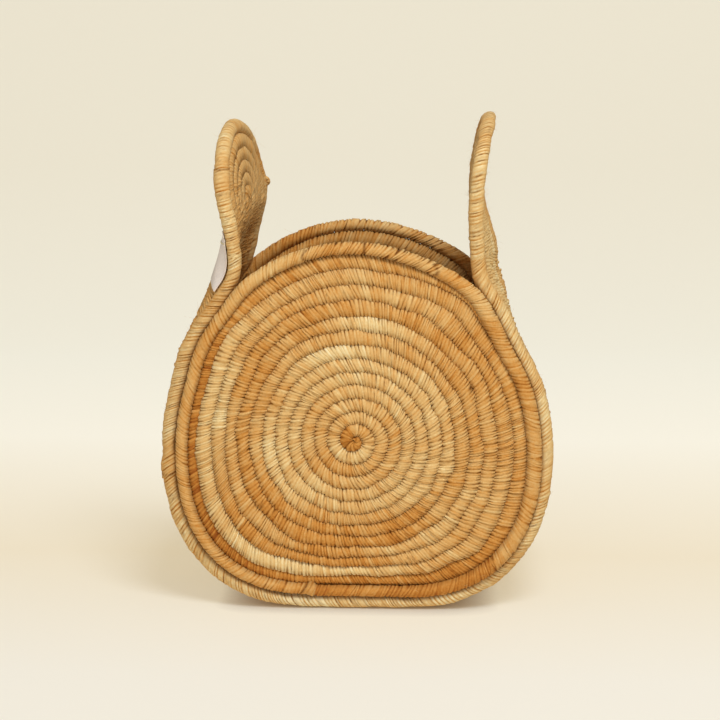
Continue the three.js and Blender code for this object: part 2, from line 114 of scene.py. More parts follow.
def ease(value, low, high):
    """Nothing below low, one above high, and smooth between them."""
    share = np.clip((value - low) / (high - low), 0, 1)
    return share**2 * (3 - 2 * share)


def run_along(path):
    """The length along a path at each of its points."""
    return np.concatenate([[0.0], np.cumsum(np.linalg.norm(np.diff(path, axis=0), axis=1))])


def directions(path, run):
    """The unit tangent at each point of a path."""
    tangent = np.gradient(path, run, axis=0)
    return tangent / np.linalg.norm(tangent, axis=1)[:, None]


foot = np.array([0.0, 0.0])
flat = np.array([FLAT_HALF, 0.0])
belly = np.array([BELLY_HALF, BELLY_HEIGHT])
shoulder = np.array([SHOULDER_HALF, SHOULDER_HEIGHT])
neck = np.array([NECK_HALF, NECK_HEIGHT])
tip = np.array([NECK_HALF, TIP_HEIGHT])
inward = np.array([-math.sin(SHOULDER_SLOPE), math.cos(SHOULDER_SLOPE)])
flank_rise = SHOULDER_HEIGHT - BELLY_HEIGHT
neck_rise = NECK_HEIGHT - SHOULDER_HEIGHT
corner_leave = np.array([FLAT_HALF + CORNER_LOW * (BELLY_HALF - FLAT_HALF), 0.0])
corner_arrive = np.array([BELLY_HALF, CORNER_HIGH * BELLY_HEIGHT])
flank_leave = np.array([BELLY_HALF, BELLY_HEIGHT + FLANK_LOW * flank_rise])
flank_arrive = shoulder - FLANK_HIGH * flank_rise * inward
neck_leave = shoulder + NECK_LOW * neck_rise * inward
neck_arrive = np.array([NECK_HALF, NECK_HEIGHT - NECK_HIGH * neck_rise])
to_shoulder = np.concatenate([
    np.linspace(foot, flat, STRAIGHT_POINTS),
    bezier(flat, corner_leave, corner_arrive, belly)[1:],
    bezier(belly, flank_leave, flank_arrive, shoulder)[1:],
])
to_tip = np.concatenate([
    bezier(shoulder, neck_leave, neck_arrive, neck)[1:],
    np.linspace(neck, tip, STRAIGHT_POINTS)[1:],
])
outline = np.concatenate([to_shoulder, to_tip])
outline_run = run_along(outline)
outline_tangent = directions(outline, outline_run)
outline_length = outline_run[-1]
sewn_end = outline_run[len(to_shoulder) - 1]


def outline_at(s):
    """Place and outward normal of the right outline at a length s from the middle of the floor."""
    x = np.interp(s, outline_run, outline[:, 0])
    z = np.interp(s, outline_run, outline[:, 1]) + np.maximum(0, s - outline_length)
    normal_x = np.interp(s, outline_run, outline_tangent[:, 1])
    normal_z = -np.interp(s, outline_run, outline_tangent[:, 0])
    return x, z, normal_x, normal_z


def run_at_height(height):
    """The length along the outline at which it reaches a height."""
    return np.interp(height, outline[:, 1], outline_run)


def sway(x, y, z):
    """The soft basket sags a little to the left and is pressed in at the back of its right flank."""
    side = np.clip(x / BELLY_HALF, 0, 1)
    to_back = np.clip(y / BAND_WIDTH + 0.5, 0, 1)
    sag = SWAY * bump(z, SWAY_HEIGHT, SWAY_REACH)
    dent = DENT * bump(z, DENT_HEIGHT, DENT_REACH) * side * to_back
    return np.stack([x - sag - dent, y, z], axis=-1)


def band_point(side, s, t, n):
    """The band as a sheet: s up the outline, t from front to back, n out of its middle surface."""
    x, z, normal_x, normal_z = outline_at(s)
    risen = np.maximum(0, z - NECK_HEIGHT) / (TIP_HEIGHT - NECK_HEIGHT)
    is_left = np.equal(side, LEFT)
    bulge_height = np.where(is_left, LEFT_BULGE_HEIGHT, RIGHT_BULGE_HEIGHT)
    out = n + BULGE * bump(z, bulge_height, BULGE_REACH) * np.maximum(0, 1 - (t / edge_line) ** 2)
    twist = np.where(is_left, ease(z, TWIST_START, TWIST_END) * LEFT_TWIST, 0)
    bow = np.where(is_left, LEFT_BOW * bump(z, BOW_HEIGHT, BOW_REACH), 0)
    lean = EAR_FLARE * risen**2 - EAR_HOLLOW * risen + bow
    out_x = side * normal_x * out
    middle_x = side * (x - EDGE_RADIUS * normal_x + lean)
    middle_z = z - EDGE_RADIUS * normal_z
    return sway(
        middle_x + out_x * np.cos(twist) + t * np.sin(twist),
        t * np.cos(twist) - out_x * np.sin(twist),
        middle_z + normal_z * out,
    )


# One wrap of the strand is a stitch. Its profile is places along its width and how far it is drawn in there.
# The rest says how stitches differ from one another, in shares, with reaches along the coil in millimetres.
STITCH_PITCH = 2.5
STITCH_PROFILE = ((0.0, 1.0), (0.3, 0.0), (0.7, 0.0))
STITCH_SLANT = 2.2
ROW_SIDES = 8
ROW_DIP = 1.4
ROW_ROUND = 0.95
CREST_DIP = 0.2
# Painted highlight: how much paler each stitch's crest is painted than its groove
CREST_PAINTED_HIGHLIGHT = 0.12
WIDTH_DRIFT = 0.16
WIDTH_REACH = 30
WIDTH_SPREAD = 0.3
SLANT_DRIFT = 0.3
SLANT_REACH = 40
SLANT_SPREAD = 0.2
LUMP_REACH = 14
PLAIN_END = 12
RAGGED = 0.03
# Painted shade in the grooves between rows, stronger here and there along the coil
GROOVE = 0.3
GROOVE_REACH = 9
GROOVE_LIMITS = (0.05, 0.8)
CREASE_DEEP = 0.4
CREASE_WIDE = 0.1
# Painted shade in the slits between stitches, strongest at a row's edges and in short dashes
SLIT_LUCK = (0.6, 1.5)
SLIT_STRENGTH = 2.2
SLIT_RARENESS = 1.3
SLIT_CREST = 0.06
SLIT_EDGE = 0.85
SLIT_DASH = 0.4
SLIT_FLANK = 0.25
DASH_PLACE = 1.4
DASH_LENGTH = 0.5


def waver(along, reach, seed):
    """Slow, smooth noise of about unit height along a coil, with bends about a reach apart."""
    rng = np.random.default_rng(seed)
    knots = np.arange(0, np.max(along) + 3 * reach, reach)
    values = rng.normal(0, 1, len(knots))
    low = np.clip((along / reach).astype(int), 0, len(knots) - 2)
    share = ease(along / reach - low, 0, 1)
    return values[low] * (1 - share) + values[low + 1] * share


def ring_angles(sides):
    """Angles round a ring of a coil, from its inner edge."""
    return math.pi + np.arange(sides) * 2 * math.pi / sides


def wind(place, length, thick, sides, seed, pitch=STITCH_PITCH, profile=STITCH_PROFILE, slant=STITCH_SLANT,
         bite=0.16, dip=ROW_DIP, dip_spread=0.35, flat_side=0.92, flat_top=ROW_ROUND, swell=1.19, uneven=0.09,
         lumpy=0.04, twist=0.0, round_ends=0.0):
    """Rings of one wrapped coil. place turns lengths along it, shares across it and rises into points."""
    rng = np.random.default_rng(seed)
    count = max(3, round(length / pitch))
    step = length / count
    drift = np.clip(waver(np.arange(count) * step, WIDTH_REACH, seed + 4), -2, 2)
    widths = 1 + WIDTH_DRIFT * drift + rng.uniform(-WIDTH_SPREAD, WIDTH_SPREAD, count)
    starts = np.append(0.0, np.cumsum(widths)) * length / np.sum(widths)
    shares, gaps = np.array(profile).T
    depth = 1 - dip_spread + 2 * dip_spread * rng.random(count)
    along = np.append((starts[:-1, None] + np.diff(starts)[:, None] * shares).ravel(), length)
    gap = np.append((depth[:, None] * gaps).ravel(), 0.0)
    gap[0] = 0
    stitch = np.append(np.repeat(np.arange(count), len(shares)), count - 1)
    wrap = np.append((np.arange(count)[:, None] + shares).ravel(), count)
    angle = ring_angles(sides)
    across = np.sign(np.cos(angle)) * np.abs(np.cos(angle)) ** flat_side
    ends = 1 - ease(np.minimum(along, length - along), 0, round_ends) if round_ends else np.zeros(len(along))
    flatness = flat_top + (ROW_ROUND - flat_top) * ends
    dip = dip + (ROW_DIP - dip) * ends
    rise = np.sign(np.sin(angle)) * np.abs(np.sin(angle)) ** flatness[:, None]
    inside = ease(along, 0, PLAIN_END) * ease(length - along, 0, PLAIN_END)
    hump = rng.normal(0, uneven, count)[stitch]
    lump = 1 + (lumpy * waver(along, LUMP_REACH, seed + 1) + hump) * inside
    slant_drift = SLANT_DRIFT * waver(along, SLANT_REACH, seed + 3)
    lean = slant * (1 + slant_drift + rng.normal(0, SLANT_SPREAD, count)[stitch])
    slanted = np.clip(along[:, None] - lean[:, None] * across + twist * rise, 0, length)
    ragged = rng.normal(0, RAGGED, (count, 2))[stitch]
    sideways = across * (swell + np.where(across < 0, ragged[:, :1], ragged[:, 1:]) - bite * gap[:, None])
    edge = np.abs(across) ** 3
    dipped = np.sign(rise) * (CREST_DIP + (1 - CREST_DIP) * edge)
    height = (thick * lump)[:, None] * rise - (dip * gap)[:, None] * dipped
    # Painted shade at the row's edges, where it meets the next row
    groove = np.clip(GROOVE + GROOVE * waver(along, GROOVE_REACH, seed + 2), *GROOVE_LIMITS)
    crease = np.clip(CREASE_DEEP * groove[:, None] * edge**4 + CREASE_WIDE * edge**2, 0, 1)
    # Painted shade in the gaps between stitches, and a little on their flanks, darker at random
    luck = rng.uniform(*SLIT_LUCK, count)[stitch][:, None]
    chance = luck * SLIT_STRENGTH * rng.random((len(gap), sides)) ** SLIT_RARENESS
    dash_at = rng.uniform(-DASH_PLACE, DASH_PLACE, count)[stitch][:, None]
    dash = np.exp(-((across - dash_at) / DASH_LENGTH) ** 2)
    slit_shade = gap[:, None] * (SLIT_CREST + SLIT_EDGE * across**4 + SLIT_DASH * dash)
    slit_shade = np.clip(chance * (slit_shade + SLIT_FLANK * (1 - gap[:, None]) * edge), 0, 1)
    points = place(slanted, sideways, height) * MM
    looks = {"gap": gap, "edge": edge, "crease": crease, "slit_shade": slit_shade}
    return {"points": points, "count": count, "stitch": stitch, "wrap": wrap, **looks}


def stitch_middles(coil, length):
    """How far along a coil the middle of each of its stitches lies, with all as wide."""
    return (np.arange(coil["count"]) + 0.5) * length / coil["count"]


def per_ring(coil, values):
    """Values for each stitch of a coil, as a column with one for each of its rings."""
    return values[coil["stitch"]][:, None]


def darken(coil, shade_and_marks):
    """Makes a coil's painted shade and dark marks at least as dark as a given darkness."""
    coil["crease"] = np.maximum(coil["crease"], shade_and_marks)


def fatten(coil, share):
    """Scales each ring, or each point of it, about the ring's middle."""
    middle = coil["points"].mean(axis=1, keepdims=True)
    coil["points"] = middle + (coil["points"] - middle) * share[:, :, None]


def strand_tones(count, seed, middle=0.5, spread=0.09, shortest=25, longest=110, unlike=0.03):
    """One tone for each stitch: strands differ from lot to lot, and each stitch a little from the next."""
    rng = np.random.default_rng(seed)
    tones = np.zeros(0)
    while len(tones) < count:
        tones = np.append(tones, np.full(rng.integers(shortest, longest), middle + rng.normal(0, spread)))
    return tones[:count] + rng.normal(0, unlike, count)


# Coils of one mesh lie so many wraps apart in its material, so that their fibres differ
WRAPS_APART = 1000


def sweep(name, coils, material):
    """One mesh object from the rings of one or more coils, closed at their ends."""
    points, faces, uvs, tones, shades = [], [], [], [], []
    base = 0
    for number, coil in enumerate(coils):
        rings, sides = coil["points"].shape[:2]
        # The floor presses flat whatever would reach below it
        coil["points"][:, :, 2] = np.maximum(coil["points"][:, :, 2], 0)
        ring, side = np.meshgrid(np.arange(rings - 1), np.arange(sides), indexing="ij")
        following = (side + 1) % sides
        corners = [(ring, side), (ring, following), (ring + 1, following), (ring + 1, side)]
        quads = np.stack([base + a * sides + b for a, b in corners], axis=-1).reshape(-1, 4)
        turn = np.stack([side, side + 1, side + 1, side], axis=-1).reshape(-1, 4) / sides
        along = np.stack([coil["wrap"][a] for a, _ in corners], axis=-1).reshape(-1, 4)
        along = along + WRAPS_APART * number
        first = base + np.arange(sides)
        last = first + (rings - 1) * sides
        middle = coil["points"][rings // 2]
        facing = np.cross(middle[1] - middle[0], coil["points"][rings // 2 + 1][0] - middle[0])
        if np.dot(facing, middle[0] - middle.mean(axis=0)) < 0:
            quads = quads[:, ::-1]
            turn = turn[:, ::-1]
            along = along[:, ::-1]
            last = last[::-1]
        else:
            first = first[::-1]
        points.append(coil["points"].reshape(-1, 3))
        faces += quads.tolist() + [first.tolist(), last.tolist()]
        uvs += [np.stack([along, turn], axis=-1).reshape(-1, 2), np.zeros((2 * sides, 2))]
        # Painted highlight: crests painted paler and grooves darker, most at a row's edges
        crest_highlight = CREST_PAINTED_HIGHLIGHT * (1 - 2 * coil["gap"])[:, None] * (0.5 + coil["edge"])
        tones.append((per_ring(coil, coil["tone"]) + crest_highlight).ravel())
        # The shade attribute holds the painted shade of creases and slits, and the dark marks
        shades.append(np.maximum(coil["crease"], coil["slit_shade"]).ravel())
        base += rings * sides
    mesh = bpy.data.meshes.new(name)
    mesh.from_pydata(np.concatenate(points).tolist(), [], faces)
    mesh.uv_layers.new(name="wrap").data.foreach_set("uv", np.concatenate(uvs).ravel())
    for attribute, values in (("tone", tones), ("shade_and_marks", shades)):
        mesh.attributes.new(attribute, "FLOAT", "POINT").data.foreach_set("value", np.concatenate(values))
    mesh.shade_smooth()
    mesh.materials.append(material)
    piece = bpy.data.objects.new(name, mesh)
    bpy.context.collection.objects.link(piece)
    return piece


# Loose fibres that stand out of the wraps, each a thin tapering hair of a few millimetres
STRAY_RADIUS = 0.09
STRAY_STEPS = 4
STRAY_SIDES = 3
STRAY_LENGTH = (2.5, 7)
STRAY_TAPER = 0.7
STRAY_ALONG = 0.7
STRAY_OUT = (0.1, 0.6)
STRAY_ASIDE = 0.6
STRAY_CURL_ASIDE = 0.5
STRAY_CURL_OUT = 0.3
STRAY_TONES = (0.3, 0.9)


def strays(coil, count, seed):
    """Loose fibres that leave a coil at random places, as more coils for the same mesh."""
    rng = np.random.default_rng(seed)
    points = coil["points"] / MM
    rings, sides = points.shape[:2]
    made = []
    for ring, side in zip(rng.integers(1, rings - 1, count), rng.integers(0, sides, count)):
        start = points[ring, side]
        out = start - points[ring].mean(axis=0)
        out /= np.linalg.norm(out)
        along = points[ring + 1, side] - points[ring - 1, side]
        along /= np.linalg.norm(along) * rng.choice((-1, 1))
        aside = np.cross(out, along)
        leave = STRAY_ALONG * along + rng.uniform(*STRAY_OUT) * out + rng.normal(0, STRAY_ASIDE) * aside
        curl = rng.normal(0, STRAY_CURL_ASIDE) * aside + rng.normal(0, STRAY_CURL_OUT) * out
        share = np.linspace(0, 1, STRAY_STEPS)[:, None]
        line = start + rng.uniform(*STRAY_LENGTH) * (share * leave + share**2 * curl)
        angle = np.arange(STRAY_SIDES) * 2 * math.pi / STRAY_SIDES
        ring_of = np.cos(angle)[:, None] * out + np.sin(angle)[:, None] * aside
        hair = line[:, None] + STRAY_RADIUS * (1 - STRAY_TAPER * share)[:, None] * ring_of
        if np.min(hair[:, :, 2]) < 0:
            continue
        still = np.zeros((STRAY_STEPS, STRAY_SIDES))
        made.append({
            "points": hair * MM, "stitch": np.zeros(STRAY_STEPS, int), "wrap": np.arange(STRAY_STEPS),
            "gap": np.full(STRAY_STEPS, 0.5), "edge": np.zeros(STRAY_SIDES), "crease": still, "slit_shade": still,
            "tone": np.array([rng.uniform(*STRAY_TONES)]),
        })
    return made


def linear(colour):
    """A colour written as sRGB hex, as the linear values that a shader takes."""
    parts = [int(colour[i:i + 2], 16) / 255 for i in (1, 3, 5)]
    return [p / 12.92 if p <= 0.04045 else ((p + 0.055) / 1.055) ** 2.4 for p in parts] + [1.0]


def node(tree, kind, inputs=None, **settings):
    """A new node of a kind, or a node that is there, with settings and with inputs set or linked."""
    made = tree.nodes.new(kind) if isinstance(kind, str) else kind
    for key, value in settings.items():
        setattr(made, key, value)
    for key, value in (inputs or {}).items():
        if isinstance(value, bpy.types.Node):
            value = value.outputs[0]
        if isinstance(value, bpy.types.NodeSocket):
            tree.links.new(value, made.inputs[key])
        else:
            made.inputs[key].default_value = value
    return made


def new_material(name):
    """A new material, its node tree and its shader."""
    material = bpy.data.materials.new(name)
    material.use_nodes = True
    return material, material.node_tree, material.node_tree.nodes["Principled BSDF"]


# Jute's fibres are too fine to show, so they are drawn as coarser streaks, so many in a wrap's width and
# so many round the coil. Blotches and grain have their real sizes.
JUTE_TONES = ((0.0, "#92521C"), (0.2, "#B2752F"), (0.36, "#C58D47"), (0.52, "#D0A466"), (0.7, "#D9B880"),
              (0.85, "#E2CC9B"), (1.0, "#EBE1BD"))
# The brown of painted shade in creases and slits, and of the dark marks
JUTE_SHADE_AND_MARK_BROWN = "#6E4212"
FIBRES_IN_WRAP = 2.6
FIBRES_ROUND = 7.0
BLOTCH_SIZE = 38 * MM
BLOTCHY = 0.25
GRAIN_SIZE = 1.8 * MM
GRAIN_RELIEF = 0.8
RELIEF_DEPTH = 0.5 * MM


def jute(name, roughness, fibre, grainy=0.3):
    """Dry jute: matt bast fibre streaked along the wrap, blotched with straw and rust, with painted brown
    shade and dark marks.
    """
    material, tree, shader = new_material(name)
    tone = node(tree, "ShaderNodeAttribute", attribute_name="tone").outputs["Fac"]
    shade_and_marks = node(tree, "ShaderNodeAttribute", attribute_name="shade_and_marks").outputs["Fac"]
    wrap = node(tree, "ShaderNodeUVMap", uv_map="wrap")
    where = node(tree, "ShaderNodeTexCoord").outputs["Object"]
    strand = node(tree, "ShaderNodeMapping", {"Vector": wrap, "Scale": (FIBRES_IN_WRAP, FIBRES_ROUND, 1.0)})
    fibres = node(tree, "ShaderNodeTexNoise", {"Vector": strand, "Scale": 1.0, "Detail": 3.0})
    blotch = node(tree, "ShaderNodeTexNoise", {"Vector": where, "Scale": 1 / BLOTCH_SIZE, "Detail": 4.0})
    grain = node(tree, "ShaderNodeTexNoise", {"Vector": where, "Scale": 1 / GRAIN_SIZE, "Detail": 3.0})
    streaked = node(tree, "ShaderNodeMath", {0: fibres, 1: fibre, 2: tone}, operation="MULTIPLY_ADD")
    blotched = node(tree, "ShaderNodeMath", {0: blotch, 1: BLOTCHY, 2: streaked}, operation="MULTIPLY_ADD")
    grained = node(tree, "ShaderNodeMath", {0: grain, 1: grainy, 2: blotched}, operation="MULTIPLY_ADD")
    usual = (fibre + BLOTCHY + grainy) / 2
    centred = node(tree, "ShaderNodeMath", {0: grained, 1: usual}, operation="SUBTRACT")
    ramp = node(tree, "ShaderNodeValToRGB", {"Fac": centred})
    for stop, _ in JUTE_TONES[1:-1]:
        ramp.color_ramp.elements.new(stop)
    for element, (stop, colour) in zip(ramp.color_ramp.elements, JUTE_TONES):
        element.position = stop
        element.color = linear(colour)
    speckles = {"Value": grain, "From Min": 0.3, "From Max": 0.55, "To Min": 0.6, "To Max": 1.0}
    broken = node(tree, "ShaderNodeMapRange", speckles)
    # Painted shade and dark marks, broken up by the grain
    dark = node(tree, "ShaderNodeMath", {0: shade_and_marks, 1: broken}, operation="MULTIPLY")
    colours = {"Factor": dark, 6: ramp, 7: linear(JUTE_SHADE_AND_MARK_BROWN)}
    colour = node(tree, "ShaderNodeMix", colours, data_type="RGBA")
    raised = node(tree, "ShaderNodeMath", {0: grain, 1: GRAIN_RELIEF, 2: fibres}, operation="MULTIPLY_ADD")
    relief = node(tree, "ShaderNodeBump", {"Height": raised, "Strength": 0.35, "Distance": RELIEF_DEPTH})
    surface = {"Base Color": colour.outputs[2], "Normal": relief, "Roughness": roughness}
    node(tree, shader, {**surface, "Specular IOR Level": 0.2})
    return material


# Loosely laid strand: quite matt, with fibres that show as streaks along each wrap
row_jute = jute("wrapped_jute_rows", roughness=0.85, fibre=0.35)

# The rows nearest the front are painted paler, with less painted shade, on the right shoulder from this
# height up: painted light on a face that the lamps leave darker
PALE_ROWS = 5
PALE_START = 150.0
PALE_FULL = 240.0
SHOULDER_PAINTED_LIGHT = 0.22
PALE_SLIT = 0.3
PALE_CREASE = 0.8
BAND_SLIT = 0.9
BAND_SEED = 100

# The ears begin at this height, where the straight rows of the band go over into the ears' hairpin rows
EAR_FOOT = 286.0
ear_foot = run_at_height(EAR_FOOT)
band_length = 2 * ear_foot


def band_coil(middle, half):
    """Place of a coil that runs the length of the band, from the left ear's foot to the right one's."""
    def place(along, across, rise):
        run = along - ear_foot
        return band_point(np.where(run < 0, LEFT, RIGHT), np.abs(run), middle + half * across, rise)
    return place


band_rows = []
for row in range(BAND_ROWS):
    place = band_coil(row_half * (2 * row + 1) - mat_half, row_half)
    coil = wind(place, band_length, EDGE_RADIUS, ROW_SIDES, BAND_SEED + row)
    coil["tone"] = strand_tones(coil["count"], BAND_SEED + 100 + row)
    run = stitch_middles(coil, band_length) - ear_foot
    height = outline_at(np.abs(run))[1]
    # Painted light on the shoulder's front rows, with less painted shade in their slits and creases
    painted_lit = max(0, 1 - row / PALE_ROWS) * (run > 0) * ease(height, PALE_START, PALE_FULL)
    coil["tone"] += SHOULDER_PAINTED_LIGHT * painted_lit
    coil["slit_shade"] *= BAND_SLIT - PALE_SLIT * per_ring(coil, painted_lit)
    coil["crease"] *= 1 - PALE_CREASE * per_ring(coil, painted_lit)
    band_rows.append(coil)
for row in range(BAND_ROWS):
    band_rows += strays(band_rows[row], count=40, seed=BAND_SEED + 120 + row)
side_rows = sweep("side_band_rows", band_rows, row_jute)
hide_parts("side_band")
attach(side_rows, "basket")


# Edge coils: a fatter coil along each long edge of the band, wrapped so closely that it looks almost smooth.
# Its strand is a wide flat ribbon of paler jute, laid on the slant, with a seam showing only here and there.
EDGE_PITCH = 2.7
EDGE_PROFILE = ((0.0, 1.0), (0.35, 0.0), (0.7, 0.0))
EDGE_SIDES = 16
EDGE_SLANT = 0.6
EDGE_TWIST = 3.4
EDGE_TONE = 0.57
EDGE_TONE_UNLIKE = 0.04
EDGE_PALER = 0.04
EDGE_EVENED = 7
SLIT_LEAST = 0.25
SEWN_ANGLE = math.radians(-44)
SEWN_TOP = 268.0
SEWN_FADE = 8
SEWN_PAINTED_SHADE = 0.8
SEWN_NARROW = 10
NICK_WIDTH = 0.8
NICK_DARK = 0.85
EDGE_NICK = {"level": 108.0, "swell": 0.16, "reach": 30}
# Painted light: the edge coil is painted paler near the foot, where the rim keeps light from it
FOOT_PAINTED_LIGHT = 0.1
FOOT_PALE_RUN = (60, 130)
FOOT_SPREAD = 0.36
FOOT_SPREAD_RUN = (70, 150)
PRESSED = 0.35
PRESSED_LEFT = (20, 90)
PRESSED_LOW = 230
# The same strand drawn tight, so that its flat ribbon shines a little more
edge_jute = jute("close_wrapped_jute_edge", roughness=0.75, fibre=0.35)
edge_angles = ring_angles(EDGE_SIDES)


def even_out(tones, over):
    """Means of tones over each run of so many stitches that lies wholly among them."""
    return np.convolve(tones, np.full(over, 1 / over), mode="valid")


def close_coil(place, length, thick, seed, slant, twist, sewn_at=None):
    """A closely wrapped coil: shallow wraps, few drawn in deeply, and painted shade in the crease where it is
    sewn.
    """
    coil = wind(
        place, length, thick, EDGE_SIDES, seed, EDGE_PITCH, EDGE_PROFILE, slant, bite=0.045, dip=0.35,
        dip_spread=0.9, flat_side=1.0, flat_top=1.0, swell=1.0, uneven=0.03, lumpy=0.06, twist=twist,
    )
    rng = np.random.default_rng(seed + 7)
    count = coil["count"]
    coil["slit_shade"] *= SLIT_LEAST + (1 - SLIT_LEAST) * per_ring(coil, rng.random(count)) ** 2
    coil["crease"] = np.zeros((len(coil["gap"]), EDGE_SIDES))
    if sewn_at is not None:
        # Painted shade in the crease where the coil is sewn to the rim, fading out near the shoulder
        sewn = 1 - ease(coil["points"][:, :, 2] / MM, SEWN_TOP - SEWN_FADE, SEWN_TOP)
        facing = np.cos(edge_angles - sewn_at)
        coil["crease"] = SEWN_PAINTED_SHADE * sewn * np.clip(SEWN_NARROW * facing - (SEWN_NARROW - 1), 0, 1)
    needed = count + EDGE_EVENED - 1
    lots = strand_tones(needed, seed + 9, EDGE_TONE, spread=0.07, shortest=3, longest=14, unlike=0.0)
    coil["tone"] = even_out(lots, EDGE_EVENED) + rng.normal(0, EDGE_TONE_UNLIKE, count)
    return coil


def nick(coil, chosen, level, swell, reach):
    """A strand's end: a dark nick at a level, and a fatter coil above it, or below for a negative reach."""
    height = coil["points"].mean(axis=1)[:, 2] / MM
    beyond = (height - level) / reach
    fatter = 1 + swell * np.exp(-beyond**2) * (beyond > 0) * chosen
    fatten(coil, fatter[:, None])
    away = (level - coil["points"][:, :, 2] / MM) / NICK_WIDTH
    darken(coil, NICK_DARK * np.exp(-away**2) * chosen[:, None])


for name, face, seed in (("front_edge_coil", FRONT, 300), ("back_edge_coil", BACK, 330)):
    place = band_coil(face * edge_line, face * EDGE_RADIUS)
    coil = close_coil(place, band_length, EDGE_RADIUS, seed, EDGE_SLANT, EDGE_TWIST, SEWN_ANGLE)
    from_foot = np.abs(stitch_middles(coil, band_length) - ear_foot)
    # Painted light towards the foot, added to the coil's own slightly paler tone
    coil["tone"] += EDGE_PALER + FOOT_PAINTED_LIGHT * (1 - ease(from_foot, *FOOT_PALE_RUN))
    # The weight flattens the coil at the foot, so that it spreads forward as far as the rim
    spread = FOOT_SPREAD * per_ring(coil, 1 - ease(from_foot, *FOOT_SPREAD_RUN))
    coil["points"][:, :, 1] += spread * (coil["points"][:, :, 1] - face * (edge_line - EDGE_RADIUS) * MM)
    if face == FRONT:
        nick(coil, coil["points"][:, 0, 0] < 0, **EDGE_NICK)
        # On the left the coil is pressed out towards the narrow rim, so that only a line shows between them
        middle = coil["points"].mean(axis=1, keepdims=True) / MM
        low = 1 - ease(middle[:, :, 2], PRESSED_LOW, SEWN_TOP)
        toward = np.maximum(0, np.cos(edge_angles - SEWN_ANGLE)) ** 2
        fatten(coil, 1 + PRESSED * ease(-middle[:, :, 0], *PRESSED_LEFT) * low * toward)
    coils = [coil] + strays(coil, count=160, seed=seed + 20)
    edge = sweep(name.replace("coil", "wrapped_coil"), coils, edge_jute)
    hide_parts(name)
    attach(edge, "basket")


# Ears: above the neck the band's rows turn back on themselves in nested hairpins, so an ear has a round tip.
# The same edge coil runs round the outside. Nothing stiffens an ear: it bends over its whole root, like felt.
LEFT_TIP_DROP = 7.0
HAIRPINS = BAND_ROWS // 2
EAR_ROOT = 40.0
EAR_LAP = 3.0
EAR_TWIST = 1.4
# The right ear's outer rows take painted light like the shoulder below them, with fewer slits
EAR_PAINTED_LIGHT = 0.3
EAR_PALE_FROM = 1
EAR_PALE_SLIT = 0.2
EAR_SLIT = 0.4
ROOT_SLIT = 0.5
TIP_CREASE = 0.1
LEG_CREASE = 0.5
LEG_START = (0.6, 1.3)


def ear_coil(side, reach, half):
    """Place of a coil up the front of an ear, round its tip and down the back, and the coil's length."""
    centre = outline_length - BAND_WIDTH / 2 - (LEFT_TIP_DROP if side == LEFT else 0)
    rise_length = centre - ear_foot + EAR_LAP
    length = 2 * rise_length + math.pi * reach

    def place(along, across, rise):
        out = reach + half * across
        turn = np.clip((along - rise_length) / reach, 0, math.pi)
        climb = np.minimum(along, rise_length) - np.maximum(0, along - rise_length - math.pi * reach)
        return band_point(side, ear_foot - EAR_LAP + climb + out * np.sin(turn), -out * np.cos(turn), rise)
    return place, length


# A strand ends on the left ear's front edge, and a small loop of strand stands out of its back edge
EAR_NICK = {"level": 351.0, "swell": 0.14, "reach": -12}
NUB_LEVEL = 329.0
NUB_REACH = 2.4
NUB_RADIUS = 2.0
NUB_LIFT = 1.0
NUB_TONE = 0.5


def nub(along, across, rise):
    """Place of the small loop, half a ring on the inner face of the ear."""
    turn = along / NUB_REACH
    up = run_at_height(NUB_LEVEL) + (NUB_REACH + rise) * np.cos(turn)
    out = NUB_LIFT - EDGE_RADIUS - (NUB_REACH + rise) * np.sin(turn)
    return band_point(LEFT, up, edge_line + NUB_RADIUS * across, out)


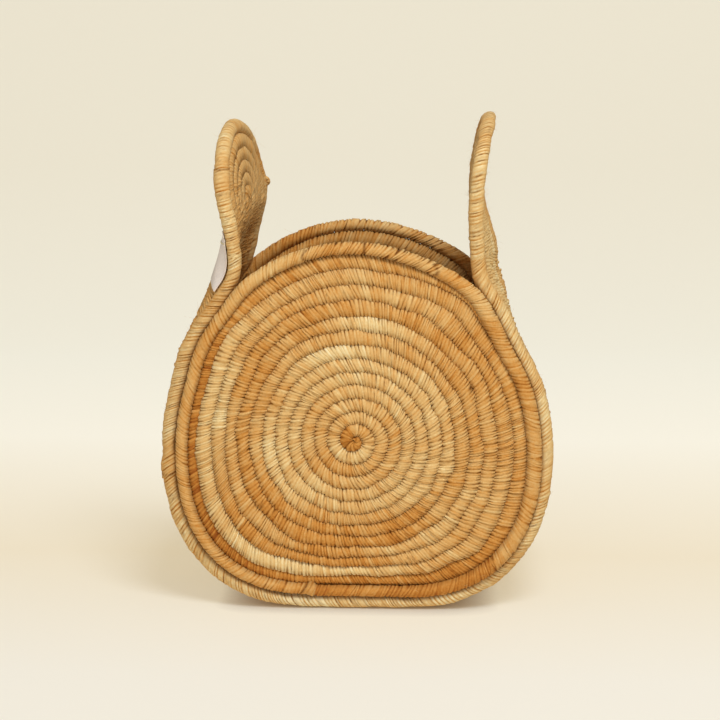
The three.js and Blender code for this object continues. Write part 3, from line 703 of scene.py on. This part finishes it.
for word, side, seed in (("left", LEFT, 400), ("right", RIGHT, 450)):
    hairpins = []
    for row in range(HAIRPINS):
        reach = row_half * (2 * row + 1)
        place, length = ear_coil(side, reach, row_half)
        coil = wind(
            place, length, EDGE_RADIUS, ROW_SIDES, seed + row, dip=0.3, flat_side=0.8, flat_top=0.32,
            swell=1.32, uneven=0.04, lumpy=0.03, round_ends=EAR_ROOT,
        )
        count = coil["count"]
        coil["tone"] = strand_tones(count, seed + 20 + row, spread=0.05)
        # Painted light: the right ear's outer rows are painted paler up the front leg
        painted_lit = (side == RIGHT) * max(0, row - EAR_PALE_FROM) / HAIRPINS * (np.arange(count) < count / 2)
        coil["tone"] += EAR_PAINTED_LIGHT * painted_lit
        # Each leg grows out of a row of the band, and its tone and its slits go over into that row's
        run = stitch_middles(coil, length)
        legs = ((run, band_rows[HAIRPINS - 1 - row]), (length - run, band_rows[HAIRPINS + row]))
        root = np.zeros(count)
        for up_leg, below in legs:
            share = 1 - ease(up_leg, 0, EAR_ROOT)
            coil["tone"] += share * (below["tone"][0 if side == LEFT else -1] - coil["tone"])
            root += share
        coil["slit_shade"] *= per_ring(coil, EAR_SLIT + ROOT_SLIT * root - EAR_PALE_SLIT * painted_lit)
        # Painted shade in the grooves: faint round the tip, stronger down the legs, less where painted paler
        turned = np.abs(coil["wrap"] / count - 0.5) * length / (math.pi / 2 * reach)
        on_leg = TIP_CREASE + LEG_CREASE * ease(turned, *LEG_START)
        coil["crease"] *= (1 - per_ring(coil, painted_lit)) * on_leg[:, None]
        hairpins += [coil] + strays(coil, count=40, seed=seed + 60 + row)
    mat = sweep(word + "_handle_rows", hairpins, row_jute)
    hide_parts(word + "_handle_mat")
    place, length = ear_coil(side, edge_line, EDGE_RADIUS)
    coils = [close_coil(place, length, EDGE_RADIUS, seed + 40, EDGE_SLANT, side * EAR_TWIST)]
    if side == LEFT:
        nick(coils[0], coils[0]["points"][:, 0, 1] < 0, **EAR_NICK)
        around = math.pi * NUB_REACH
        loop = wind(nub, around, NUB_RADIUS, ROW_SIDES, seed + 45, slant=0.3, bite=0.05, dip=0.1, swell=1.0)
        loop["tone"] = np.full(loop["count"], NUB_TONE)
        coils.append(loop)
    coils += strays(coils[0], count=90, seed=seed + 70)
    border = sweep(word + "_handle_wrapped_coil", coils, edge_jute)
    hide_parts(word + "_handle_coil")
    for piece in (mat, border):
        x = side * NECK_HALF * MM
        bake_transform(piece)


# Discs: front and back are each one long coil wound out from a small brown button, twelve turns to the rim.
# Each turn is stitched to the one inside it. The turns are squeezed together at the foot, under the weight.
RIM_RADIUS = 6.25
RIM_INSET = 9.5
ROW_RADIUS = 4.95
DISC_TURNS = 12
DISC_SIDES = 10
SEWN_POINTS = 400
SPIRAL_POINTS = 6000
ROW_PITCH = 10.35
SPIRAL_START = 8.4
HEART_TURN = -0.6
TAIL_START = 0.5
TAIL_END = 0.66
TAIL_SHORT = 0.004
UNDER_RIM = 1.2
CROWN_WIDER = 1.6
CROWN_TURN = 0.5
CROWN_TURN_REACH = 0.2
CROWN_HEIGHT = 290.5
CROWN_SHIFT = 4.0
CROWN_LOW = 0.47
CROWN_HIGH = 0.44
SPIRAL_X = -1.5
SPIRAL_Z = 139.0
DOME = 3.0
RECESS = 3.0
WOBBLE = 1.25
WOBBLES_IN_TURN = 38
WOBBLE_FADE = 8
LAST_SINK = 2.2
LAST_SINK_TURN = 0.22
LAST_SINK_REACH = 0.26
LAP_OVER = 2.0
LAP_BEFORE = 0.78
LAP_REACH = 0.28
THIN_ROW = 2.4
rim_apart = EDGE_RADIUS + RIM_RADIUS + SEAM_GAP
rim_line = edge_line + math.sqrt(rim_apart**2 - RIM_INSET**2)


def rim_half(side):
    """The rim's middle line on one side, from the middle of the floor up to the crown."""
    x, z, normal_x, normal_z = outline_at(np.linspace(0, sewn_end, SEWN_POINTS))
    inset = EDGE_RADIUS + RIM_INSET
    sewn = np.stack([x - inset * normal_x, z - inset * normal_z], axis=1)
    start = sewn[-1]
    crown = np.array([-CROWN_SHIFT * side, CROWN_HEIGHT])
    leave = start + CROWN_LOW * (CROWN_HEIGHT - start[1]) * inward
    arrive = np.array([crown[0] + CROWN_HIGH * start[0], CROWN_HEIGHT])
    half = np.concatenate([sewn, bezier(start, leave, arrive, crown)[1:]])
    return half * np.array([side, 1])


rim_path = np.concatenate([rim_half(RIGHT), rim_half(LEFT)[-2::-1]])
rim_run = run_along(rim_path)
rim_tangent = directions(rim_path, rim_run)
rim_normal = np.stack([rim_tangent[:, 1], -rim_tangent[:, 0]], axis=1)

# The disc's border about the spiral's centre
border = rim_path - (RIM_RADIUS + SEAM_GAP) * rim_normal - np.array([SPIRAL_X, SPIRAL_Z])
border_reach = np.linalg.norm(border, axis=1)


def row_edge(face, turns, seed):
    """How far from the centre a turn's outer edge lies: round at the heart, the rim's line at the border."""
    border_turn = np.arctan2(face * border[:, 0], -border[:, 1]) / (2 * math.pi)
    part = np.mod(turns, 1)
    reach = np.interp(turns, border_turn, border_reach, period=1) + UNDER_RIM
    reach = reach + CROWN_WIDER * bump(part, CROWN_TURN, CROWN_TURN_REACH)
    ended = np.clip((part - TAIL_START) / (TAIL_END - TAIL_START), 0, 1)
    full = DISC_TURNS + np.minimum(part, TAIL_START)
    last = DISC_TURNS - 1
    limit = np.where(part < TAIL_END, full + (last + TAIL_END - full) * ended, last + part)
    share = np.clip(turns / limit, 0, 1)
    wobble = WOBBLE * waver(np.maximum(turns, 0) * WOBBLES_IN_TURN, 1.0, seed)
    wobble = wobble * np.minimum(1, WOBBLE_FADE * (1 - share)) * share
    edge = np.maximum(0, SPIRAL_START + ROW_PITCH * turns)
    edge = edge + (reach - SPIRAL_START - ROW_PITCH * limit) * share**3 + wobble
    return np.where(turns >= limit, reach, edge)


def disc_coil(face, seed):
    """Place of a disc's coil, wound out clockwise as seen from its own side, its length and its turns."""
    turns = np.linspace(HEART_TURN, DISC_TURNS + TAIL_END - TAIL_SHORT, SPIRAL_POINTS)
    middle = (row_edge(face, turns, seed) + row_edge(face, turns - 1, seed)) / 2
    run = np.concatenate([[0.0], np.cumsum(2 * math.pi * middle[1:] * np.diff(turns))])

    def place(along, across, rise):
        turn = np.interp(along, run, turns)
        outer = row_edge(face, turn, seed)
        inner = row_edge(face, turn - 1, seed)
        half = (outer - inner) / 2
        out = (outer + inner) / 2 + half * across
        reach = row_edge(face, np.mod(turn, 1) + DISC_TURNS + 1, seed)
        share = np.clip((outer + inner) / 2 / reach, 0, 1)
        angle = turn * 2 * math.pi
        # On one side the last turn is sunk, and the turn before it laps over it
        sink = LAST_SINK * bump(turn, DISC_TURNS + LAST_SINK_TURN, LAST_SINK_REACH)
        out = out + LAP_OVER * bump(turn, DISC_TURNS - LAP_BEFORE, LAP_REACH) * np.maximum(0, across)
        depth = rim_line + DOME * (1 - share**2) - RECESS * share**8 - sink
        thin = np.minimum(1, (half + THIN_ROW) / ROW_RADIUS)
        x = SPIRAL_X + face * out * np.sin(angle)
        return sway(x, face * (depth + rise * thin), SPIRAL_Z - out * np.cos(angle))
    return place, run[-1], lambda along: np.interp(along, run, turns)


# Dark pinches in the front disc, each a place and a size
MARKS = ((89.9, 182.5, 2.2), (-74.5, 86.0, 1.4), (-61.0, 172.0, 0.9))
PINCHED = 1.5
# Lots of strand on the front disc: from one turn to another, and the strand's tone from rust to cream
FRONT_LOTS = (
    (-1.0, 0.5, 0.27), (0.5, 0.8, 0.5), (0.8, 1.2, 0.66), (1.2, 1.9, 0.55), (3.4, 5.9, 0.62),
    (6.05, 6.18, 0.45), (6.18, 6.34, 0.72), (6.42, 6.56, 0.78), (6.6, 6.89, 0.6), (6.89, 7.14, 0.32),
    (7.4, 7.8, 0.5), (7.8, 7.95, 0.45), (7.95, 8.2, 0.3), (8.2, 8.44, 0.4), (8.45, 8.54, 0.76),
    (8.6, 8.75, 0.42), (8.75, 8.95, 0.56), (8.95, 9.05, 0.32), (9.05, 9.2, 0.5), (9.3, 9.6, 0.38),
    (9.6, 9.88, 0.5), (9.9, 10.1, 0.3), (10.2, 10.29, 0.74), (10.55, 10.72, 0.4), (10.72, 10.92, 0.52),
    (10.92, 11.1, 0.74), (11.1, 11.36, 0.64), (11.36, 11.52, 0.52), (11.52, 11.84, 0.42),
    (11.84, 12.08, 0.26), (12.08, 12.36, 0.2), (12.36, 12.66, 0.42),
)
DISC_TONE_UNLIKE = 0.06
OUTER_DARKER = 0.06
OUTER_TURNS = (6, 9)
# Where one lot goes over into the next the strands mix, over so many stitches, but not at the heart
LOT_MIX = 15
HEART_TURNS = 1.5
# The last turn is mottled where it is sunk, and has painted shade where it goes under the rim
SUNK_TURNS = 0.4
SUNK_UNLIKE = 0.05
RIM_SHADE = 0.5
RIM_SHADE_TURNS = [DISC_TURNS - 0.6, DISC_TURNS - 0.3]
RIM_SHADE_ACROSS = (0.2, 1)
for word, face, seed, lots in (("front", FRONT, 500, FRONT_LOTS), ("back", BACK, 560, ())):
    place, length, turn_at = disc_coil(face, seed)
    coil = wind(place, length, ROW_RADIUS, DISC_SIDES, seed)
    count = coil["count"]
    turns = turn_at(stitch_middles(coil, length))
    tones = strand_tones(count, seed + 5, spread=0.04) - OUTER_DARKER * ease(turns, *OUTER_TURNS)
    rng = np.random.default_rng(seed + 6)
    for start, end, tone in lots:
        tones[(turns >= start) & (turns < end)] = tone
    mixed = even_out(np.pad(tones, LOT_MIX // 2, mode="edge"), LOT_MIX)
    tones = np.where(turns < HEART_TURNS, tones, mixed)
    sunk = (turns > DISC_TURNS) & (turns < DISC_TURNS + SUNK_TURNS)
    coil["tone"] = tones + rng.normal(0, DISC_TONE_UNLIKE, count) + sunk * rng.normal(0, SUNK_UNLIKE, count)
    # Painted shade on the outer edge of the last turn, where it goes under the rim
    under_rim = np.interp(turn_at((coil["wrap"] / count) * length), RIM_SHADE_TURNS, [0, 1])
    outer_edge = ease(np.cos(ring_angles(DISC_SIDES)), *RIM_SHADE_ACROSS)
    darken(coil, RIM_SHADE * under_rim[:, None] * outer_edge)
    for x, z, size in MARKS if face == FRONT else ():
        away = np.hypot(coil["points"][:, :, 0] / MM - x, coil["points"][:, :, 2] / MM - z)
        darken(coil, np.clip(PINCHED - away / size, 0, 1))
    disc = sweep(word + "_disc_rows", [coil] + strays(coil, count=600, seed=seed + 30), row_jute)
    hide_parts(word + "_disc_coil")
    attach(disc, "basket")


# Rims: the last turn of each disc is a fat, closely wrapped coil, sewn inside the band's edge coil.
# It starts thin and orange at the foot, swells, runs once round and ends blunt beside its own start.
RIM_JOIN = 0.966
RIM_OVERLAP = 8.0
RIM_START = 0.78
RIM_SWELL_RUN = (40, 170)
RIM_LEFT_THINNER = 0.2
RIM_LEFT_RUN = (0.6, 0.75)
RIM_TIP = 5.0
RIM_TIP_BLUNT = 0.97
RIM_TUCK = 1.5
RIM_KNOB = 0.34
RIM_START_RUN = (60, 190)
# Painted shade on each rim's inner side, towards its disc
RIM_SHADED = 0.45
RIM_SHADED_ACROSS = (0.3, 1)
END_WIDTH = 1.3
CROWN_LEVEL = 240.0
CROWN_THINNER = 0.16
# Between two hooks of strand the crown is stitched more openly. A hook is a dark line that leans.
HOOKS = (-42.0, 63.5)
HOOK_LEAN = 6
HOOK_WIDTH = 1.1
CROWN_NICK = 6.4
CROWN_SLIT = 0.8
CROWN_PALER = 0.06
CROWN_DRAWN_IN = 0.12


def rim_coil(face):
    """Place of a rim, from its join at the lower left round by the right, the crown and the left."""
    total = rim_run[-1]
    length = total + RIM_OVERLAP

    def place(along, across, rise):
        run = np.mod(along + RIM_JOIN * total - RIM_OVERLAP, total)
        x, z = (np.interp(run, rim_run, values) for values in rim_path.T)
        normal_x, normal_z = (np.interp(run, rim_run, values) for values in rim_normal.T)
        left = ease(along / length, *RIM_LEFT_RUN) * (face == FRONT)
        swell = RIM_START + (1 - RIM_START) * ease(along, *RIM_SWELL_RUN) - RIM_LEFT_THINNER * left
        swell = swell * np.sqrt(1 - RIM_TIP_BLUNT * np.clip(1 - (length - along) / RIM_TIP, 0, 1) ** 2)
        swell = swell * (1 + RIM_KNOB * bump(length - along, RIM_TIP, RIM_TIP))
        narrow = CROWN_THINNER * ease(z, CROWN_LEVEL, CROWN_HEIGHT)
        out = RIM_RADIUS * (across * swell * (1 - narrow) + narrow) - RIM_TUCK * left
        under = RIM_TIP * (1 - ease(along, 0, RIM_OVERLAP))
        return sway(x + normal_x * out, face * (rim_line + rise * swell - under), z + normal_z * out)
    return place, length


rims = (("front", FRONT, 600, 0.26, 0.12), ("back", BACK, 640, 0.08, 0.2))
for word, face, seed, start_darker, darker in rims:
    place, length = rim_coil(face)
    coil = close_coil(place, length, RIM_RADIUS, seed, slant=3.0, twist=0.0)
    coil["tone"] -= start_darker * (1 - ease(stitch_middles(coil, length), *RIM_START_RUN)) + darker
    middle = coil["points"].mean(axis=1) / MM
    high = middle[:, 2] > CROWN_LEVEL
    stitched = np.zeros(coil["count"])
    stitched[coil["stitch"][high & (middle[:, 0] > HOOKS[0]) & (middle[:, 0] < HOOKS[1])]] = 1
    coil["slit_shade"] *= 1 + CROWN_SLIT * per_ring(coil, stitched)
    coil["tone"] += CROWN_PALER * stitched
    fatten(coil, 1 - CROWN_DRAWN_IN * coil["gap"][:, None] * per_ring(coil, stitched))
    across = np.cos(edge_angles)
    # Painted shade on the rim's inner side, where it meets the disc
    darken(coil, RIM_SHADED * ease(-across, *RIM_SHADED_ACROSS))
    crown_lines = ((HOOKS[0], -HOOK_LEAN), (HOOKS[1], HOOK_LEAN), (CROWN_NICK, 0))
    for line, lean in crown_lines if face == FRONT else ():
        offset = coil["points"][:, :, 0] / MM - line + lean * across**2
        darken(coil, high[:, None] * np.exp(-(offset / HOOK_WIDTH) ** 2))
    from_end = length * (1 - coil["wrap"] / coil["count"])
    darken(coil, np.exp(-((from_end - 2 * RIM_TIP) / END_WIDTH) ** 2)[:, None])
    coils = [coil] + strays(coil, count=160, seed=seed + 20)
    rim = sweep(word + "_rim_wrapped_coil", coils, edge_jute)
    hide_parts(word + "_rim_coil")
    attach(rim, "basket")


# Seam twine: a two-ply jute twine that sews each rim to the edge coil, in the crease inside the basket.
# It lies where it touches both coils, from shoulder to shoulder round the foot.
TWINE_RADIUS = 1.0
TWINE_PROFILE = ((0.0, 0.0), (0.5, 0.0))
TWIST_PITCH = 4.0
PLY_DEPTH = 0.25
# Hard-twisted jute: darker than the rows, a little shinier, and ribbed by its two plies
twine_jute = jute("twisted_jute_twine", roughness=0.75, fibre=0.3)
to_edge = EDGE_RADIUS + TWINE_RADIUS + SEAM_GAP
to_rim = RIM_RADIUS + TWINE_RADIUS + SEAM_GAP
crease_along = (to_edge**2 - to_rim**2 + rim_apart**2) / (2 * rim_apart)
crease_aside = math.sqrt(to_edge**2 - crease_along**2)
twine_inset = EDGE_RADIUS + (crease_along * RIM_INSET + crease_aside * (rim_line - edge_line)) / rim_apart
twine_depth = edge_line + (crease_along * (rim_line - edge_line) - crease_aside * RIM_INSET) / rim_apart


def twine_coil(face):
    """Place of a seam's twine, from the left shoulder round the foot to the right one."""
    def place(along, across, rise):
        run = along - sewn_end
        x, z, normal_x, normal_z = outline_at(np.abs(run))
        around = np.arctan2(rise, across * TWINE_RADIUS)
        ply = PLY_DEPTH * np.cos(2 * (around - math.pi * along / TWIST_PITCH))
        out = across * TWINE_RADIUS * (1 + ply) - twine_inset
        depth = face * (twine_depth + rise * (1 + ply))
        return sway(np.where(run < 0, LEFT, RIGHT) * (x + normal_x * out), depth, z + normal_z * out)
    return place


for word, face, seed in (("front", FRONT, 700), ("back", BACK, 720)):
    coil = wind(
        twine_coil(face), 2 * sewn_end, TWINE_RADIUS, sides=6, seed=seed, pitch=2.0, profile=TWINE_PROFILE,
        slant=0.0, bite=0.0, dip=0.0,
    )
    coil["tone"] = strand_tones(coil["count"], seed + 1, middle=0.3, spread=0.05)
    twine = sweep(word + "_seam_twisted_twine", [coil], twine_jute)
    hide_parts(word + "_seam_twine")
    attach(twine, "basket")


# Label: a short strip of plain white cotton tape, sewn on outside the left shoulder.
# One line of white thread holds it near its top edge, and the rest lies loose against the rows.
LABEL_BOTTOM = 254.0
LABEL_TOP = 302.0
LABEL_NEAR = 55.0
LABEL_FAR = 12.0
LABEL_THICKNESS = 0.8
LABEL_STANDS_OFF = 0.6
LABEL_STANDS_REACH = 8
LABEL_FREE = 16.0
LABEL_STEPS = 40
WEAVE_PITCH = 1.1 * MM
WEAVE_DEPTH = 0.2 * MM
TAPE_SHADED = "#EDE6E8"
TAPE_WHITE = "#FBF7F6"
weave_scale = math.pi / 10 / WEAVE_PITCH
label_base = EDGE_RADIUS + SEAM_GAP
label_low = run_at_height(LABEL_BOTTOM)
label_high = run_at_height(LABEL_TOP)


def taut(level, out):
    """The tightest line over a run of places, straight wherever they lie hollow."""
    held = []
    for point in zip(level, out):
        while len(held) > 1 and np.cross(np.subtract(held[-1], held[-2]), np.subtract(point, held[-1])) >= 0:
            held.pop()
        held.append(point)
    return np.interp(level, *np.array(held).T)


label_up = np.linspace(label_low, label_high, LABEL_STEPS + 1)
stands_off = LABEL_STANDS_OFF * ease(label_up, label_high - LABEL_STANDS_REACH, label_high)
label_columns = []
for near in np.linspace(LABEL_NEAR, LABEL_FAR, LABEL_STEPS + 1):
    from_front = np.full(len(label_up), -near)
    column = band_point(LEFT, label_up, from_front, label_base + LABEL_THICKNESS / 2 + stands_off)
    free = ease(LABEL_NEAR - near, 0, LABEL_FREE)
    column[:, 0] -= free * (taut(column[:, 2], -column[:, 0]) + column[:, 0])
    label_columns.append(column)
label_grid = np.array(label_columns)
bpy.ops.mesh.primitive_grid_add(x_subdivisions=LABEL_STEPS, y_subdivisions=LABEL_STEPS, size=1)
label = bpy.context.object
label.name = "side_label_tape"
for vertex in label.data.vertices:
    column = round((vertex.co.x + 0.5) * LABEL_STEPS)
    vertex.co = label_grid[column, round((vertex.co.y + 0.5) * LABEL_STEPS)] * MM
# Plain-woven cotton: matt white, with a check of threads that is drawn coarser than real, so that it shows
tape, tree, shader = new_material("plain_woven_cotton_tape")
threads = {"Vector": node(tree, "ShaderNodeTexCoord").outputs["Object"], "Scale": weave_scale}
warp = node(tree, "ShaderNodeTexWave", threads, bands_direction="Y")
weft = node(tree, "ShaderNodeTexWave", threads, bands_direction="Z")
weave = node(tree, "ShaderNodeMath", {0: warp.outputs["Fac"], 1: weft.outputs["Fac"]}, operation="MULTIPLY")
whites = {0: weave, 6: linear(TAPE_SHADED), 7: linear(TAPE_WHITE)}
dye = node(tree, "ShaderNodeMix", whites, data_type="RGBA")
nap = node(tree, "ShaderNodeBump", {"Height": weave, "Strength": 0.5, "Distance": WEAVE_DEPTH})
node(tree, shader, {"Base Color": dye.outputs[2], "Normal": nap, "Roughness": 0.85})
label.data.materials.append(tape)
thickness = label.modifiers.new("thickness", "SOLIDIFY")
thickness.thickness = LABEL_THICKNESS * MM
thickness.offset = 0
bpy.ops.object.modifier_apply(modifier="thickness")
bpy.ops.object.shade_smooth_by_angle(angle=math.radians(40))
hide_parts("side_label")
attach(label, "basket")


# Label thread: white cotton, one line of small stitches across the label below its top edge.
# It follows the tape's own surface and rises and falls a little at each stitch.
LABEL_SEAM = 292.0
THREAD_RADIUS = 0.5
THREAD_MARGIN = 2
THREAD_STITCH = 3
THREAD_RISE = 0.15
THREAD_TONE = 1.2
THREAD_SLIT = 0.2
thread_length = LABEL_NEAR - LABEL_FAR - 2 * THREAD_MARGIN
seam_step = int(np.argmin(np.abs(label_grid[0, :, 2] - LABEL_SEAM)))
seam = label_grid[:, seam_step]
seam_run = np.linspace(0, LABEL_NEAR - LABEL_FAR, LABEL_STEPS + 1)


def thread_place(along, across, rise):
    """Place of the thread on the outside of the tape."""
    out = LABEL_THICKNESS / 2 + THREAD_RISE * np.cos(along * 2 * math.pi / THREAD_STITCH) + rise
    x, y, z = (np.interp(along + THREAD_MARGIN, seam_run, seam[:, axis]) for axis in range(3))
    return np.stack([x - out, y, z + THREAD_RADIUS * across], axis=-1)


# Spun cotton: white, matt and more even than jute, so it takes the same material with hardly any streaks
thread_cotton = jute("white_cotton_thread", roughness=0.8, fibre=0.1, grainy=0.1)
coil = wind(
    thread_place, thread_length, THREAD_RADIUS, ROW_SIDES, seed=800, pitch=1.0, slant=0.3, bite=0.1, dip=0.06,
)
coil["tone"] = np.full(coil["count"], THREAD_TONE)
coil["slit_shade"] *= THREAD_SLIT
thread = sweep("label_sewing_thread", [coil], thread_cotton)
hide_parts("label_thread")
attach(thread, "basket")


# Floor and backdrop: one sheet of cream paper that curves up behind the basket, under a large soft light.
# The camera sees the paper's own glow, with a painted brown shadow where it meets the basket. The basket is
# lit by plain cream paper.
PAPER_DEPTH = 6.0
PAPER_HEIGHT = 3.0
PAPER_BACK = 2.2
PAPER_CURVE = 1.2
PAPER_SEGMENTS = 24
PAPER_NEAR = -0.5
CLOSE = 0.01
# The glow is dimmer and warmer at the basket's depth than in front and behind: a painted shade on the floor
# about the basket
PAPER_GLOW = ((0.1, "#C7BDA9"), (0.22, "#C7B591"), (0.38, "#D6CEBA"), (0.537, "#D1CBB8"), (0.78, "#CBC1A8"))
PAPER_CREAM = "#EFE3CB"
PAPER_SEEN = "#989FA8"
CONTACT_REACH = 0.02
CONTACT_PAINTED_SHADOW = "#6B4A22"
bpy.ops.object.select_all(action="DESELECT")
bpy.ops.mesh.primitive_plane_add(size=PAPER_DEPTH, location=(0, PAPER_BACK - PAPER_DEPTH / 2, 0))
paper = bpy.context.object
paper.name = "paper_sweep"
bpy.ops.object.transform_apply(location=True)
bpy.ops.object.mode_set(mode="EDIT")
bpy.ops.mesh.select_all(action="DESELECT")
bpy.ops.object.mode_set(mode="OBJECT")
for edge in paper.data.edges:
    edge.select = all(paper.data.vertices[i].co.y > PAPER_BACK - CLOSE for i in edge.vertices)
bpy.ops.object.mode_set(mode="EDIT")
bpy.ops.mesh.select_mode(type="EDGE")
bpy.ops.mesh.extrude_region_move(TRANSFORM_OT_translate={"value": (0, 0, PAPER_HEIGHT)})
bpy.ops.mesh.select_all(action="DESELECT")
bpy.ops.object.mode_set(mode="OBJECT")
for edge in paper.data.edges:
    ends = [paper.data.vertices[i].co for i in edge.vertices]
    edge.select = all(p.y > PAPER_BACK - CLOSE and abs(p.z) < CLOSE for p in ends)
bpy.ops.object.mode_set(mode="EDIT")
bpy.ops.mesh.bevel(offset=PAPER_CURVE, segments=PAPER_SEGMENTS)
bpy.ops.object.mode_set(mode="OBJECT")
bpy.ops.object.shade_smooth()
# Heavy uncoated paper: quite matt, so no shape is mirrored in it
cream_paper, tree, shader = new_material("matt_cream_paper")
path = node(tree, "ShaderNodeLightPath")
mirrored = {0: path.outputs["Is Glossy Ray"], 1: path.outputs["Is Transmission Ray"]}
bounced = node(tree, "ShaderNodeMath", mirrored, operation="MAXIMUM")
seen = node(tree, "ShaderNodeMath", {0: path.outputs["Is Camera Ray"], 1: bounced}, operation="MAXIMUM")
where = node(tree, "ShaderNodeSeparateXYZ", {"Vector": node(tree, "ShaderNodeTexCoord").outputs["Object"]})
depth = {"Value": where.outputs["Y"], "From Min": PAPER_NEAR, "From Max": PAPER_BACK}
glow = node(tree, "ShaderNodeValToRGB", {"Fac": node(tree, "ShaderNodeMapRange", depth)})
for stop, _ in PAPER_GLOW[1:-1]:
    glow.color_ramp.elements.new(stop)
for element, (stop, colour) in zip(glow.color_ramp.elements, PAPER_GLOW):
    element.position = stop
    element.color = linear(colour)
# Painted shadow: the glow turns brown close to the basket, where occlusion finds it
contact = node(tree, "ShaderNodeAmbientOcclusion", {"Distance": CONTACT_REACH})
near_contact = {"Factor": contact.outputs["AO"], 6: linear(CONTACT_PAINTED_SHADOW), 7: glow}
glow_with_painted_shadow = node(tree, "ShaderNodeMix", near_contact, data_type="RGBA")
sheet_colours = {"Factor": seen, 6: linear(PAPER_CREAM), 7: linear(PAPER_SEEN)}
sheet = node(tree, "ShaderNodeMix", sheet_colours, data_type="RGBA")
node(tree, shader, {"Base Color": sheet.outputs[2], "Roughness": 0.9, "Specular IOR Level": 0.1})
node(tree, shader, {"Emission Color": glow_with_painted_shadow.outputs[2], "Emission Strength": seen})
paper.data.materials.append(cream_paper)

# Light: a bright, even room, a large softbox above on the right and a weaker one low on the left.
# Both boxes are round and slightly warm, so that the shadows under the basket stay soft.
ROOM_COLOUR = "#FFFAF0"
SOFTBOX_COLOUR = "#FFF8EA"
scene = bpy.context.scene
scene.view_settings.view_transform = "Standard"
world = bpy.data.worlds.new("soft_room")
world.use_nodes = True
room = {"Color": linear(ROOM_COLOUR), "Strength": 0.32}
node(world.node_tree, world.node_tree.nodes["Background"], room)
scene.world = world


def softbox(name, place, aim, size, power):
    """A round area light in metres and watts, turned towards what it is aimed at."""
    light = bpy.data.lights.new(name, "AREA")
    light.shape = "DISK"
    light.size = size
    light.energy = power
    light.color = linear(SOFTBOX_COLOUR)[:3]
    lamp = bpy.data.objects.new(name, light)
    lamp.location = place
    direction = np.array(aim) - np.array(place)
    lamp.rotation_euler = (
        math.pi / 2 + math.atan2(direction[2], math.hypot(direction[0], direction[1])),
        0,
        math.atan2(direction[1], direction[0]) - math.pi / 2,
    )
    bpy.context.collection.objects.link(lamp)


softbox("key_softbox", place=(0.6, -1.4, 2.6), aim=(0, 0, 0.2), size=1.1, power=60)
softbox("fill_softbox", place=(-0.5, -2.4, 0.2), aim=(0, 0, 0.1), size=1.2, power=18)

# Camera: a long lens a little above the basket and just right of straight on.
# Its focal length is given in pixels of the picture that it was matched to.
CAMERA_AZIMUTH = math.radians(2.5)
CAMERA_ELEVATION = math.radians(11.3)
CAMERA_DISTANCE = 1.9
CAMERA_TARGET_HEIGHT = 0.19
CAMERA_FOCAL_PIXELS = 2340
SENSOR_WIDTH = 36
IMAGE_PIXELS = 720
camera = bpy.data.objects.new("camera", bpy.data.cameras.new("camera"))
camera.data.sensor_width = SENSOR_WIDTH
camera.data.lens = SENSOR_WIDTH * CAMERA_FOCAL_PIXELS / IMAGE_PIXELS
camera.location = (
    CAMERA_DISTANCE * math.sin(CAMERA_AZIMUTH) * math.cos(CAMERA_ELEVATION),
    -CAMERA_DISTANCE * math.cos(CAMERA_AZIMUTH) * math.cos(CAMERA_ELEVATION),
    CAMERA_TARGET_HEIGHT + CAMERA_DISTANCE * math.sin(CAMERA_ELEVATION),
)
camera.rotation_euler = (math.pi / 2 - CAMERA_ELEVATION, 0, CAMERA_AZIMUTH)
bpy.context.collection.objects.link(camera)
scene.camera = camera
